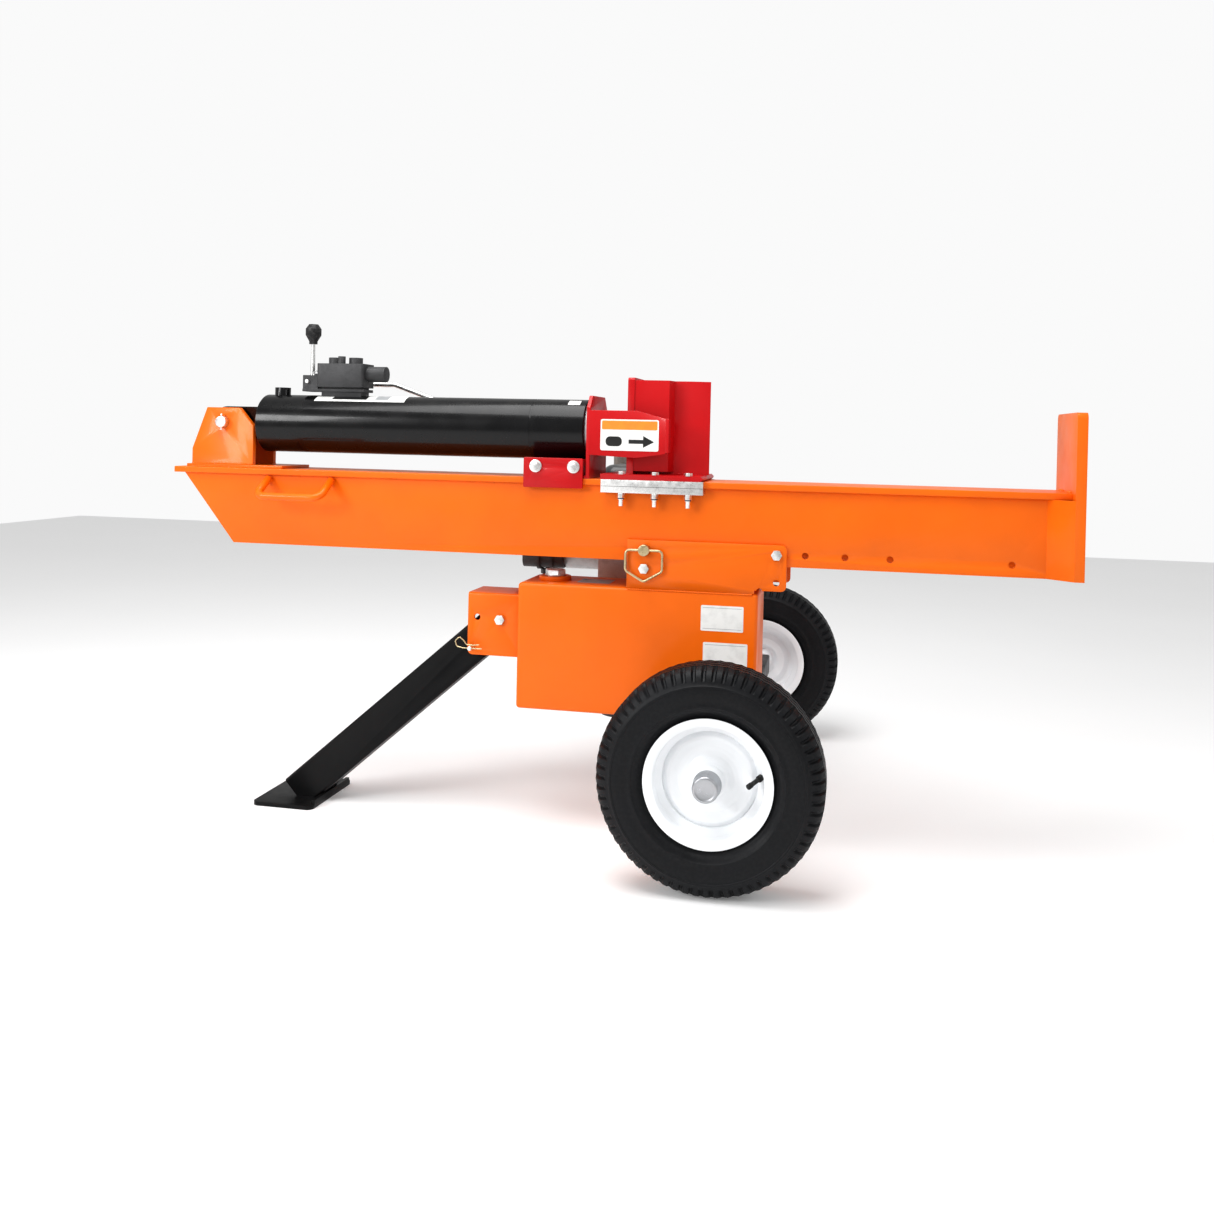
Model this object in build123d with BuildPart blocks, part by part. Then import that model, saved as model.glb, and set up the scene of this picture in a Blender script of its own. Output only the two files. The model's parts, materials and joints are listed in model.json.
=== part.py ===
"""Towable hydraulic log splitter: beam, wedge and cylinder on a tank frame with two wheels and a stand.

Millimetres.  +X runs towards the foot plate, -Y is the working side, +Z is up.
The origin lies on the ground under the middle of the machine's outline.
"""
from build123d import *
from math import cos, radians, sin
import os

os.makedirs("parts", exist_ok=True)

# ---- driving dimensions --------------------------------------------------------------------
GAP = 0.4                      # clearance between pieces that move past each other
FIT = 0.05                     # radial clearance of a running fit

TRACK = 1100.0                 # between the wheels' middle planes
AXLE_X = 285.5
TYRE_R = 206.0
TYRE_W = 116.0
RIM_R = 117.0
RIM_W = 95.0
SPINDLE_R = 12.7
HUB_R = 27.0

BEAM_Y = -242.0                # middle plane of beam, tank and stand
BEAM_LEFT = -950.5
FOOT_X = 931.5                 # face that the log is pushed against
FOOT_T = 19.0
TOP_Z = 727.0                  # top of the beam
TOP_T = 12.7
TOP_HALF = 78.0
WEB_BOTTOM = 563.0
WEB_HALF = 69.0
WEB_T = 8.0

PIVOT_X = 378.8                # the beam tips about this bolt
PIVOT_Z = 586.5
LOCK_PITCH = 55.6              # pivot to lock hole, in the beam and in the cradle
LATCH_X = 111.5
LATCH_Z = 585.5
REST_Z = 548.0
BOLT_R = 6.35

TANK_X0 = -154.5
TANK_X1 = 343.5
TANK_Z0 = 245.0
TANK_Z1 = 507.0
TANK_HALF = 76.2
TANK_WALL = 4.0
FILLER_X = -94.5

CRADLE_X0 = 75.5
CRADLE_X1 = 398.5
CRADLE_TOP = 606.0
CRADLE_T = 6.35

BRACKET_X0 = -270.5
BRACKET_Z0 = 346.0
BRACKET_Z1 = 478.0
BRACKET_HALF = 50.8
BRACKET_T = 6.35
TONGUE_HOLE_X = -250.0
STAND_X = -199.0
STAND_Z = 423.0
STAND_PIN_X = -260.0
STAND_PIN_Z = 361.5
LEG_HALF = 38.1
FOOTPAD_X = -666.0
FOOTPAD_L = 140.0
FOOTPAD_W = 198.0

CYL_Z = 827.0
BARREL_R = 63.5
BORE_R = 57.15
BARREL_X0 = -768.0
BARREL_X1 = -25.0
ROD_R = 25.4
EAR_PIN_X = -850.0
EAR_HALF = 50.7
STRIP_X = -15.0
STRIP_T = 8.0

WEDGE_X0 = 65.0
WING_X = 150.0
BEVEL_X = 194.5
TIP_X = 230.0
WEDGE_TOP = 932.0
BLADE_HALF = 12.7
WING_HALF = 50.0
SLIDE_X0 = 18.7
SLIDE_X1 = 228.5
SLIDE_Z1 = 738.5
SLIDE_HALF = 90.0
GIB_BOLTS_X = (61.8, 130.7, 199.3)
GIB_BOLT_Y = 84.3
GIB_BOLT_R = 4.76

CRANK_Y = 20.0
DECK_Z = 440.0
CRANK_Z = DECK_Z + 106.0
ENGINE_X0 = -40.0
ENGINE_X1 = 130.0
ENGINE_BOLTS = [(x, y) for x in (ENGINE_X0 + 30, ENGINE_X1 - 30) for y in (CRANK_Y - 81, CRANK_Y + 81)]

WHEEL_AXIS = Axis((AXLE_X, 0, TYRE_R), (0, 1, 0))
CYL_AXIS = Axis((0, BEAM_Y, CYL_Z), (1, 0, 0))
CRANK_AXIS = Axis((0, CRANK_Y, CRANK_Z), (1, 0, 0))


def at_x(x):
    """Plane across the machine: local x is +Y, local y is +Z, normal +X."""
    return Plane.YZ.offset(x)


def at_y(y):
    """Plane along the machine: local x is +X, local y is +Z, normal -Y."""
    return Plane.XZ.offset(-y)


def at_z(z):
    """Level plane: local x is +X, local y is +Y, normal +Z."""
    return Plane.XY.offset(z)


def block(x0, x1, y0, y1, z0, z1, mode=Mode.ADD):
    """A box between two corners, in the open part."""
    with BuildSketch(at_z(z0)) as face:
        with Locations(((x0 + x1) / 2, (y0 + y1) / 2)):
            Rectangle(x1 - x0, y1 - y0)
    extrude(face.sketch, amount=z1 - z0, mode=mode)


def rod_y(x, z, y0, y1, r, mode=Mode.ADD):
    """A round bar or hole along Y."""
    with BuildSketch(at_y(y1)) as face:
        with Locations((x, z)):
            Circle(r)
    extrude(face.sketch, amount=y1 - y0, mode=mode)


def rod_x(y, z, x0, x1, r, mode=Mode.ADD):
    """A round bar or hole along X."""
    with BuildSketch(at_x(x0)) as face:
        with Locations((y, z)):
            Circle(r)
    extrude(face.sketch, amount=x1 - x0, mode=mode)


def rod_z(x, y, z0, z1, r, mode=Mode.ADD):
    """A round bar or hole along Z."""
    with BuildSketch(at_z(z0)) as face:
        with Locations((x, y)):
            Circle(r)
    extrude(face.sketch, amount=z1 - z0, mode=mode)


def hex_y(x, z, y0, y1, flats, mode=Mode.ADD):
    """A hexagon along Y, sized across its flats."""
    with BuildSketch(at_y(y1)) as face:
        with Locations((x, z)):
            RegularPolygon(flats / 2, 6, major_radius=False)
    extrude(face.sketch, amount=y1 - y0, mode=mode)


def hex_z(x, y, z0, z1, flats, mode=Mode.ADD):
    """A hexagon along Z, sized across its flats."""
    with BuildSketch(at_z(z0)) as face:
        with Locations((x, y)):
            RegularPolygon(flats / 2, 6, major_radius=False)
    extrude(face.sketch, amount=z1 - z0, mode=mode)


def cross_bolt(x, z, y_near, y_far, r, flats, head):
    """A bolt along Y with its head on the near side and a nut on the far side."""
    rod_y(x, z, y_near, y_far + head + 4, r)
    hex_y(x, z, y_near - head, y_near, flats)
    hex_y(x, z, y_far, y_far + head, flats)


def outline_y(points, y0, y1, mode=Mode.ADD):
    """A plate along the machine, from its outline in X and Z."""
    with BuildSketch(at_y(y1)) as face:
        with BuildLine():
            Polyline(*points, close=True)
        make_face()
    extrude(face.sketch, amount=y1 - y0, mode=mode)


def save(builder, name):
    """Label a finished piece and write it."""
    builder.part.label = name
    export_step(builder.part, f"parts/{name}.step")


# ---- tank and frame ------------------------------------------------------------------------
TANK_Y0 = BEAM_Y - TANK_HALF
TANK_Y1 = BEAM_Y + TANK_HALF
SUCTION_X = -110.0
SUCTION_Z = 300.0
RETURN_X = 24.0
RETURN_Z = 330.0

with BuildPart() as tank:
    block(TANK_X0, TANK_X1, TANK_Y0, TANK_Y1, TANK_Z0, TANK_Z1)
    fillet(tank.edges().filter_by(Axis.Z), radius=8)
    fillet(tank.faces().sort_by(Axis.Z)[-1].edges(), radius=7)
    fillet(tank.faces().sort_by(Axis.Z)[0].edges(), radius=5)
    block(TANK_X0 + TANK_WALL, TANK_X1 - TANK_WALL, TANK_Y0 + TANK_WALL, TANK_Y1 - TANK_WALL,
          TANK_Z0 + TANK_WALL, TANK_Z1 - TANK_WALL, mode=Mode.SUBTRACT)
    rod_z(FILLER_X, BEAM_Y, TANK_Z1 - 10, TANK_Z1 + 5, 24, mode=Mode.SUBTRACT)
    rod_y(SUCTION_X, SUCTION_Z, TANK_Y1 - 10, TANK_Y1 + 5, 15.3, mode=Mode.SUBTRACT)
    rod_y(RETURN_X, RETURN_Z, TANK_Y1 - 10, TANK_Y1 + 5, 12.3, mode=Mode.SUBTRACT)
save(tank, "tank")

NECK_H = 9.0
with BuildPart() as filler_neck:
    rod_z(FILLER_X, BEAM_Y, TANK_Z1, TANK_Z1 + NECK_H, 34)
    rod_z(FILLER_X, BEAM_Y, TANK_Z1 - 25, TANK_Z1, 23.9)
    fillet(filler_neck.edges().filter_by(GeomType.CIRCLE).sort_by(Axis.Z)[-1], radius=2.5)
    rod_z(FILLER_X, BEAM_Y, TANK_Z1 - 26, TANK_Z1 + NECK_H + 1, 19, mode=Mode.SUBTRACT)
save(filler_neck, "filler_neck")

CAP_Z = TANK_Z1 + NECK_H + GAP
with BuildPart() as filler_cap:
    rod_z(FILLER_X, BEAM_Y, CAP_Z, CAP_Z + 2.5, 22)
    hex_z(FILLER_X, BEAM_Y, CAP_Z + 2.5, CAP_Z + 13, 38)
    chamfer(filler_cap.faces().sort_by(Axis.Z)[-1].edges(), length=1.5)
    rod_z(FILLER_X, BEAM_Y, CAP_Z - 22, CAP_Z, 18.4)
    rod_z(FILLER_X, BEAM_Y, CAP_Z - 140, CAP_Z - 22, 2.5)
save(filler_cap, "filler_cap")

NOTCH_X = TANK_X1 + 2.0
with BuildPart() as cradle_plates:
    for side in (-1, 1):
        inner = BEAM_Y + side * (TANK_HALF - CRADLE_T)
        outer = BEAM_Y + side * TANK_HALF
        low, high = sorted((inner, outer))
        with BuildSketch(at_y(high)):
            with Locations(((CRADLE_X0 + CRADLE_X1) / 2, (CRADLE_TOP + TANK_Z1 + 7) / 2)):
                plate_face = Rectangle(CRADLE_X1 - CRADLE_X0, CRADLE_TOP - TANK_Z1 - 7)
            fillet(plate_face.vertices().group_by(Axis.X)[-1], radius=10)
            with Locations(((CRADLE_X0 + NOTCH_X - 10) / 2, TANK_Z1 + 4)):
                Rectangle(NOTCH_X - 10 - CRADLE_X0, 8)
            with Locations((NOTCH_X, TANK_Z1 + 6)):
                Circle(6, mode=Mode.SUBTRACT)
            with Locations((PIVOT_X, PIVOT_Z), (PIVOT_X, PIVOT_Z - LOCK_PITCH), (LATCH_X, LATCH_Z),
                           (LATCH_X, REST_Z)):
                Circle(BOLT_R + FIT, mode=Mode.SUBTRACT)
        extrude(amount=high - low)
save(cradle_plates, "cradle_plates")

with BuildPart() as tongue_bracket:
    with BuildSketch(at_x(BRACKET_X0)):
        with Locations((BEAM_Y, (BRACKET_Z0 + BRACKET_Z1) / 2)):
            channel_face = Rectangle(2 * BRACKET_HALF, BRACKET_Z1 - BRACKET_Z0)
        fillet(channel_face.vertices().group_by(Axis.Y)[-1], radius=6)
        with Locations((BEAM_Y, (BRACKET_Z0 + BRACKET_Z1) / 2 - BRACKET_T)):
            Rectangle(2 * (BRACKET_HALF - BRACKET_T), BRACKET_Z1 - BRACKET_Z0, mode=Mode.SUBTRACT)
    extrude(amount=TANK_X0 - BRACKET_X0)
    low_edges = tongue_bracket.edges().filter_by(Axis.Y).group_by(Axis.Z)[0].sort_by(Axis.X)[:2]
    fillet(low_edges, radius=12)
    for x, z, r in ((TONGUE_HOLE_X, STAND_Z + 3, 6.75), (STAND_X, STAND_Z, BOLT_R + FIT),
                    (STAND_PIN_X, STAND_PIN_Z, 5.0)):
        rod_y(x, z, BEAM_Y - 60, BEAM_Y + 60, r, mode=Mode.SUBTRACT)
save(tongue_bracket, "tongue_bracket")

AXLE_HALF = 25.4
HUB_HALF = 45.0
with BuildPart() as axle:
    with BuildSketch(at_y(TRACK / 2 - HUB_HALF - 14)):
        with Locations((AXLE_X, TYRE_R)):
            axle_face = Rectangle(2 * AXLE_HALF, 2 * AXLE_HALF)
        fillet(axle_face.vertices(), radius=5)
    extrude(amount=TRACK - 2 * HUB_HALF - 28)
    for side in (-1, 1):
        ends = sorted((side * (TRACK / 2 - HUB_HALF - 14), side * (TRACK / 2 + HUB_HALF + 26)))
        rod_y(AXLE_X, TYRE_R, ends[0], ends[1], SPINDLE_R)
        shoulder = sorted((side * (TRACK / 2 - HUB_HALF - 14), side * (TRACK / 2 - HUB_HALF - 1)))
        rod_y(AXLE_X, TYRE_R, shoulder[0], shoulder[1], 19)
    for y0 in (TANK_Y0 + 8, TANK_Y1 - 16):
        outline_y([(AXLE_X - 60, TANK_Z0), (AXLE_X + 50, TANK_Z0), (AXLE_X + 27, TYRE_R + 10),
                   (AXLE_X - 27, TYRE_R + 10)], y0, y0 + 8)
    outline_y([(120, DECK_Z - 8), (180, DECK_Z - 8), (AXLE_X + 15, TYRE_R + 20), (AXLE_X - 25, TYRE_R + 20)],
              150, 158)
save(axle, "axle")

with BuildPart() as engine_platform:
    block(-75, 190, TANK_Y1, 200, DECK_Z - 8, DECK_Z)
    fillet(engine_platform.edges().filter_by(Axis.Z).group_by(Axis.Y)[-1], radius=15)
    for x, y in ENGINE_BOLTS:
        rod_z(x, y, DECK_Z - 10, DECK_Z + 2, 4.2, mode=Mode.SUBTRACT)
    for x0 in (-60, 165):
        with BuildSketch(at_x(x0)):
            with BuildLine():
                Polyline((TANK_Y1, DECK_Z - 8), (TANK_Y1 + 220, DECK_Z - 8), (TANK_Y1, DECK_Z - 130), close=True)
            make_face()
        extrude(amount=6)
save(engine_platform, "engine_platform")

STRAINER = 90.0
with BuildPart() as tank_fittings:
    rod_y(SUCTION_X, SUCTION_Z, TANK_Y1 - STRAINER, TANK_Y1 + 6, 15)
    hex_y(SUCTION_X, SUCTION_Z, TANK_Y1, TANK_Y1 + 14, 41)
    rod_y(SUCTION_X, SUCTION_Z, TANK_Y1 + 14, TANK_Y1 + 42, 12.7)
    rod_y(RETURN_X, RETURN_Z, TANK_Y1 - 6, TANK_Y1 + 12, 12)
    hex_y(RETURN_X, RETURN_Z, TANK_Y1, TANK_Y1 + 12, 34)
    with BuildSketch(at_z(RETURN_Z - 19)):
        with Locations((RETURN_X, TANK_Y1 + 50)):
            RectangleRounded(76, 76, 16)
    extrude(amount=39)
    rod_z(RETURN_X, TANK_Y1 + 50, RETURN_Z - 132, RETURN_Z - 19, 44)
    fillet(tank_fittings.edges().filter_by(GeomType.CIRCLE).sort_by(Axis.Z)[0], radius=9)
save(tank_fittings, "tank_fittings")

REST_R = 14.6
PLATE_NEAR = BEAM_Y - TANK_HALF
PLATE_FAR = BEAM_Y + TANK_HALF
with BuildPart() as frame_bolts:
    cross_bolt(PIVOT_X, PIVOT_Z, PLATE_NEAR, PLATE_FAR, BOLT_R, 19, 8)
    cross_bolt(LATCH_X, REST_Z, PLATE_NEAR, PLATE_FAR, BOLT_R, 19, 8)
    rod_y(LATCH_X, REST_Z, PLATE_NEAR + CRADLE_T + 1, PLATE_FAR - CRADLE_T - 1, REST_R)
    cross_bolt(STAND_X, STAND_Z, BEAM_Y - BRACKET_HALF, BEAM_Y + BRACKET_HALF, BOLT_R, 19, 8)
    for x, y in ENGINE_BOLTS:
        rod_z(x, y, DECK_Z - 22, DECK_Z + 14, 4)
        hex_z(x, y, DECK_Z + 14, DECK_Z + 20, 13)
        hex_z(x, y, DECK_Z - 16, DECK_Z - 8, 13)
    for side in (-1, 1):
        washer = sorted((side * (TRACK / 2 + HUB_HALF - 2), side * (TRACK / 2 + HUB_HALF + 1)))
        nut = sorted((side * (TRACK / 2 + HUB_HALF + 1), side * (TRACK / 2 + HUB_HALF + 18)))
        rod_y(AXLE_X, TYRE_R, washer[0], washer[1], 17)
        hex_y(AXLE_X, TYRE_R, nut[0], nut[1], 31)
        rod_y(AXLE_X, TYRE_R, min(washer[0], nut[0]) - 5, max(washer[1], nut[1]) + 5, SPINDLE_R,
              mode=Mode.SUBTRACT)
save(frame_bolts, "frame_bolts")

PLATE_THIN = 0.8
with BuildPart() as info_plates:
    for x0, x1, z0, z1 in ((229.8, 315.6, 428.8, 480.3), (235.6, 325.0, 357.0, 406.1)):
        block(x0, x1, TANK_Y0 - PLATE_THIN, TANK_Y0, z0, z1)
save(info_plates, "info_plates")

# ---- latch and stand ------------------------------------------------------------------------
LATCH_HEAD_R = 11.8
BAIL_WIRE = 2.6
LATCH_FACE = PLATE_NEAR - GAP
BAIL_Y = LATCH_FACE - 6.0
with BuildPart() as latch_pin:
    rod_y(LATCH_X, LATCH_Z, LATCH_FACE, PLATE_FAR + 14, BOLT_R)
    chamfer(latch_pin.edges().filter_by(GeomType.CIRCLE).sort_by(Axis.Y)[-1], length=2.5)
    rod_y(LATCH_X, LATCH_Z, LATCH_FACE - 12, LATCH_FACE, LATCH_HEAD_R)
    fillet(latch_pin.edges().filter_by(GeomType.CIRCLE).sort_by(Axis.Y)[0], radius=2)
    rod_x(BAIL_Y, LATCH_Z, LATCH_X - 20, LATCH_X + 20, BAIL_WIRE + FIT, mode=Mode.SUBTRACT)
save(latch_pin, "latch_pin")

BAIL_TOP = LATCH_Z
BAIL_SIDE = 38.0
BAIL_KNEE = BAIL_TOP - 42.0
BAIL_POINT = BAIL_TOP - 64.0
with BuildPart() as latch_bail:
    with BuildLine(at_y(BAIL_Y)) as bail_path:
        FilletPolyline((LATCH_X - 1, BAIL_TOP), (LATCH_X - BAIL_SIDE, BAIL_TOP),
                       (LATCH_X - BAIL_SIDE, BAIL_KNEE), (LATCH_X, BAIL_POINT),
                       (LATCH_X + BAIL_SIDE, BAIL_KNEE), (LATCH_X + BAIL_SIDE, BAIL_TOP),
                       (LATCH_X + 1, BAIL_TOP), radius=9)
    with BuildSketch(Plane(origin=(LATCH_X - 1, BAIL_Y, BAIL_TOP), z_dir=(-1, 0, 0))):
        Circle(BAIL_WIRE)
    sweep()
save(latch_bail, "latch_bail")

leg_dx = FOOTPAD_X - STAND_X
leg_dz = 12.0 - STAND_Z
LEG_LENGTH = (leg_dx ** 2 + leg_dz ** 2) ** 0.5
leg_plane = Plane(origin=(STAND_X, BEAM_Y, STAND_Z), x_dir=(leg_dx, 0, leg_dz), z_dir=(0, -1, 0))
PIN_R = 4.9
LEG_WALL = 5.0
FOOTPAD_T = 8.0
with BuildPart() as stand:
    with BuildSketch(leg_plane.offset(-LEG_HALF)):
        with Locations((LEG_LENGTH / 2, 0)):
            Rectangle(LEG_LENGTH, 2 * LEG_HALF)
        Circle(LEG_HALF)
    extrude(amount=2 * LEG_HALF)
    long_edges = stand.edges().filter_by(lambda e: e.length > LEG_LENGTH * 0.8)
    fillet(long_edges, radius=6)
    with BuildSketch(leg_plane.offset(-LEG_HALF + LEG_WALL)):
        with Locations((LEG_LENGTH / 2 + 10, 0)):
            Rectangle(LEG_LENGTH + 120, 2 * (LEG_HALF - LEG_WALL))
    extrude(amount=2 * (LEG_HALF - LEG_WALL), mode=Mode.SUBTRACT)
    block(-900, -500, BEAM_Y - 60, BEAM_Y + 60, -80, FOOTPAD_T, mode=Mode.SUBTRACT)
    with BuildSketch(at_z(0)):
        with Locations((FOOTPAD_X, BEAM_Y)):
            RectangleRounded(FOOTPAD_L, FOOTPAD_W, 14)
    extrude(amount=FOOTPAD_T)
    block(FOOTPAD_X + FOOTPAD_L / 2 - 8, FOOTPAD_X + FOOTPAD_L / 2, BEAM_Y - 84, BEAM_Y + 84,
          FOOTPAD_T, FOOTPAD_T + 9)
    for side in (-1, 1):
        spacer = sorted((BEAM_Y + side * LEG_HALF, BEAM_Y + side * (BRACKET_HALF - BRACKET_T - GAP)))
        rod_y(STAND_X, STAND_Z, spacer[0], spacer[1], 16)
    rod_y(STAND_X, STAND_Z, BEAM_Y - 60, BEAM_Y + 60, BOLT_R + FIT, mode=Mode.SUBTRACT)
    slot_r = ((STAND_PIN_X - STAND_X) ** 2 + (STAND_PIN_Z - STAND_Z) ** 2) ** 0.5
    with BuildSketch(at_y(BEAM_Y + 60)):
        with Locations((STAND_X, STAND_Z)):
            Circle(slot_r + PIN_R + 0.6)
            Circle(slot_r - PIN_R - 0.6, mode=Mode.SUBTRACT)
        with BuildLine():
            Polyline((STAND_X, STAND_Z), (STAND_PIN_X * 1.25 - 0.25 * STAND_X - 9, STAND_PIN_Z - 9),
                     (STAND_PIN_X - 20, STAND_PIN_Z - 140), (STAND_X, STAND_Z - 170), close=True)
        make_face(mode=Mode.INTERSECT)
    extrude(amount=120, mode=Mode.SUBTRACT)
save(stand, "stand")

STAND_NEAR = BEAM_Y - BRACKET_HALF
with BuildPart() as stand_pin:
    rod_y(STAND_PIN_X, STAND_PIN_Z, STAND_NEAR - 20, BEAM_Y + BRACKET_HALF + 4, PIN_R)
    chamfer(stand_pin.edges().filter_by(GeomType.CIRCLE).sort_by(Axis.Y)[0], length=1.2)
    rod_y(STAND_PIN_X, STAND_PIN_Z, BEAM_Y + BRACKET_HALF + GAP, BEAM_Y + BRACKET_HALF + 7, 9)
    rod_x(STAND_NEAR - 14, STAND_PIN_Z, STAND_PIN_X - 10, STAND_PIN_X + 10, 1.75, mode=Mode.SUBTRACT)
save(stand_pin, "stand_pin")

CLIP_Y = STAND_NEAR - 14
CLIP_WIRE = 1.3
with BuildPart() as hairpin:
    with BuildLine(at_y(CLIP_Y)) as clip_path:
        FilletPolyline((STAND_PIN_X + 26, STAND_PIN_Z), (STAND_PIN_X - 16, STAND_PIN_Z),
                       (STAND_PIN_X - 29, STAND_PIN_Z + 3), (STAND_PIN_X - 33, STAND_PIN_Z + 14),
                       (STAND_PIN_X - 24, STAND_PIN_Z + 23), (STAND_PIN_X - 14, STAND_PIN_Z + 16),
                       (STAND_PIN_X - 8, STAND_PIN_Z + 7.5), (STAND_PIN_X + 6, STAND_PIN_Z + 6.6),
                       (STAND_PIN_X + 20, STAND_PIN_Z + 8.5), radius=4)
    with BuildSketch(Plane(origin=clip_path.line @ 0, z_dir=clip_path.line % 0)):
        Circle(CLIP_WIRE)
    sweep()
save(hairpin, "hairpin")

# ---- wheels ---------------------------------------------------------------------------------
TYRE_INNER = RIM_R - 13.0
DROP_R = TYRE_INNER - 13.0


def wheel_ring(y_mid, facing, profile):
    """Turn a closed profile of (radius, offset towards the outside) about the axle."""
    with BuildSketch(at_z(TYRE_R)) as face:
        with BuildLine():
            Polyline(*[(AXLE_X + r, y_mid + facing * off) for r, off in profile], close=True)
        make_face()
    revolve(face.sketch, axis=WHEEL_AXIS)


def wheel(side, name):
    """One wheel on the side -1 or 1: tyre, rim with hub, cap and valve."""
    y_mid = side * TRACK / 2
    half = TYRE_W / 2
    with BuildPart() as tyre:
        wheel_ring(y_mid, side, [
            (TYRE_INNER + 1, RIM_W / 2 - 8), (RIM_R + 4, RIM_W / 2 - 6), (RIM_R + 12, RIM_W / 2 + 2),
            (RIM_R + 30, half - 1), (RIM_R + 47, half), (TYRE_R - 24, half - 3), (TYRE_R - 9, half - 12),
            (TYRE_R - 2, half - 25), (TYRE_R, 0), (TYRE_R - 2, 25 - half), (TYRE_R - 9, 12 - half),
            (TYRE_R - 24, 3 - half), (RIM_R + 47, -half), (RIM_R + 30, 1 - half),
            (RIM_R + 12, -RIM_W / 2 - 2), (RIM_R + 4, 6 - RIM_W / 2), (TYRE_INNER + 1, 8 - RIM_W / 2),
            (TYRE_INNER + 1, 22 - RIM_W / 2), (RIM_R + 22, 15 - half), (TYRE_R - 30, 12 - half),
            (TYRE_R - 14, 25 - half), (TYRE_R - 14, half - 25), (TYRE_R - 30, half - 12),
            (RIM_R + 22, half - 15), (TYRE_INNER + 1, RIM_W / 2 - 22)])
    save(tyre, f"{name}_tyre")
    flange = RIM_W / 2
    with BuildPart() as rim:
        wheel_ring(y_mid, side, [
            (RIM_R, flange), (RIM_R, flange - 2.5), (RIM_R - 6, flange - 6), (TYRE_INNER, flange - 8),
            (TYRE_INNER - 1, flange - 26), (DROP_R, flange - 34), (DROP_R, 34 - flange),
            (TYRE_INNER - 1, 26 - flange), (TYRE_INNER, 8 - flange), (RIM_R - 6, 6 - flange),
            (RIM_R, 2.5 - flange), (RIM_R, -flange), (RIM_R - 8, 3 - flange), (TYRE_INNER - 4, 6 - flange),
            (TYRE_INNER - 5, 24 - flange), (DROP_R - 4, 32 - flange), (DROP_R - 4, 1),
            (78, 9), (73, 10), (61, 1), (42, 3), (35, 13), (HUB_R, 14),
            (HUB_R, -HUB_HALF), (HUB_R - 7, -HUB_HALF), (HUB_R - 7, 16 - HUB_HALF), (18, 18 - HUB_HALF),
            (18, HUB_HALF - 18), (HUB_R - 7, HUB_HALF - 16), (HUB_R - 7, HUB_HALF), (HUB_R, HUB_HALF),
            (HUB_R, 20), (36, 18), (44, 8), (60, 6), (72, 15), (80, 14), (DROP_R - 4, 6),
            (DROP_R - 4, flange - 32), (TYRE_INNER - 5, flange - 24), (TYRE_INNER - 4, flange - 6),
            (RIM_R - 8, flange - 3)])
        stem = Plane(origin=(AXLE_X + 91, y_mid + side * 20, TYRE_R + 12), z_dir=(-0.55, side * 0.8, -0.28))
        with BuildSketch(stem.offset(-12)):
            Circle(6.2)
        extrude(amount=60, mode=Mode.SUBTRACT)
    save(rim, f"{name}_rim")
    with BuildPart() as cap:
        wheel_ring(y_mid, side, [
            (HUB_R - 1.5, HUB_HALF + 0.2), (HUB_R - 1.5, HUB_HALF + 6), (HUB_R - 4, HUB_HALF + 28),
            (HUB_R - 10, HUB_HALF + 34), (0, HUB_HALF + 35), (0, HUB_HALF + 33),
            (HUB_R - 11, HUB_HALF + 32), (HUB_R - 6, HUB_HALF + 27), (HUB_R - 5, HUB_HALF + 0.2)])
    save(cap, f"{name}_hub_cap")
    with BuildPart() as valve:
        for start, length, radius in ((-6, 12, 6), (6, 20, 4.2), (26, 9, 5)):
            with BuildSketch(stem.offset(start)):
                Circle(radius)
            extrude(amount=length)
    save(valve, f"{name}_valve")


wheel(-1, "near")
wheel(1, "far")

with BuildPart() as wheel_bearings:
    for side in (-1, 1):
        for off in (-1, 1):
            ends = sorted((side * TRACK / 2 + off * (HUB_HALF - 15.7), side * TRACK / 2 + off * (HUB_HALF - 2)))
            rod_y(AXLE_X, TYRE_R, ends[0], ends[1], HUB_R - 7 - FIT)
            rod_y(AXLE_X, TYRE_R, ends[0] - 1, ends[1] + 1, SPINDLE_R, mode=Mode.SUBTRACT)
save(wheel_bearings, "wheel_bearings")

# ---- beam -----------------------------------------------------------------------------------
WEB_LEFT = BEAM_LEFT + 20.5
CUT_X = -808.5
WEB_TOP = TOP_Z - TOP_T
GUSSET_X = 887.5
FOOT_HALF = 108.0
FOOT_TOP = 880.0
BEAM_HOLES_X = (PIVOT_X + LOCK_PITCH, 511.7, 598.4, 826.0)
BOLT_HOLE_R = BOLT_R + FIT
SLOT_HALF = BOLT_R + 1.2

with BuildPart() as beam_channel:
    beam_outline = [(WEB_LEFT, WEB_TOP), (CUT_X, WEB_BOTTOM), (FOOT_X, WEB_BOTTOM), (FOOT_X, WEB_TOP)]
    outline_y(beam_outline, BEAM_Y - WEB_HALF, BEAM_Y + WEB_HALF)
    block(BEAM_LEFT - 10, FOOT_X + 10, BEAM_Y - WEB_HALF + WEB_T, BEAM_Y + WEB_HALF - WEB_T,
          WEB_BOTTOM - 10, WEB_TOP - WEB_T, mode=Mode.SUBTRACT)
    rod_y(PIVOT_X, PIVOT_Z, BEAM_Y - 80, BEAM_Y + 80, BOLT_HOLE_R, mode=Mode.SUBTRACT)
    for x in BEAM_HOLES_X:
        rod_y(x, PIVOT_Z, BEAM_Y - 80, BEAM_Y + 80, 6.75, mode=Mode.SUBTRACT)
    rod_y(LATCH_X, LATCH_Z, BEAM_Y - 80, BEAM_Y + 80, SLOT_HALF, mode=Mode.SUBTRACT)
    block(LATCH_X - SLOT_HALF, LATCH_X + SLOT_HALF, BEAM_Y - 80, BEAM_Y + 80, WEB_BOTTOM - 5, LATCH_Z,
          mode=Mode.SUBTRACT)
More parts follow.
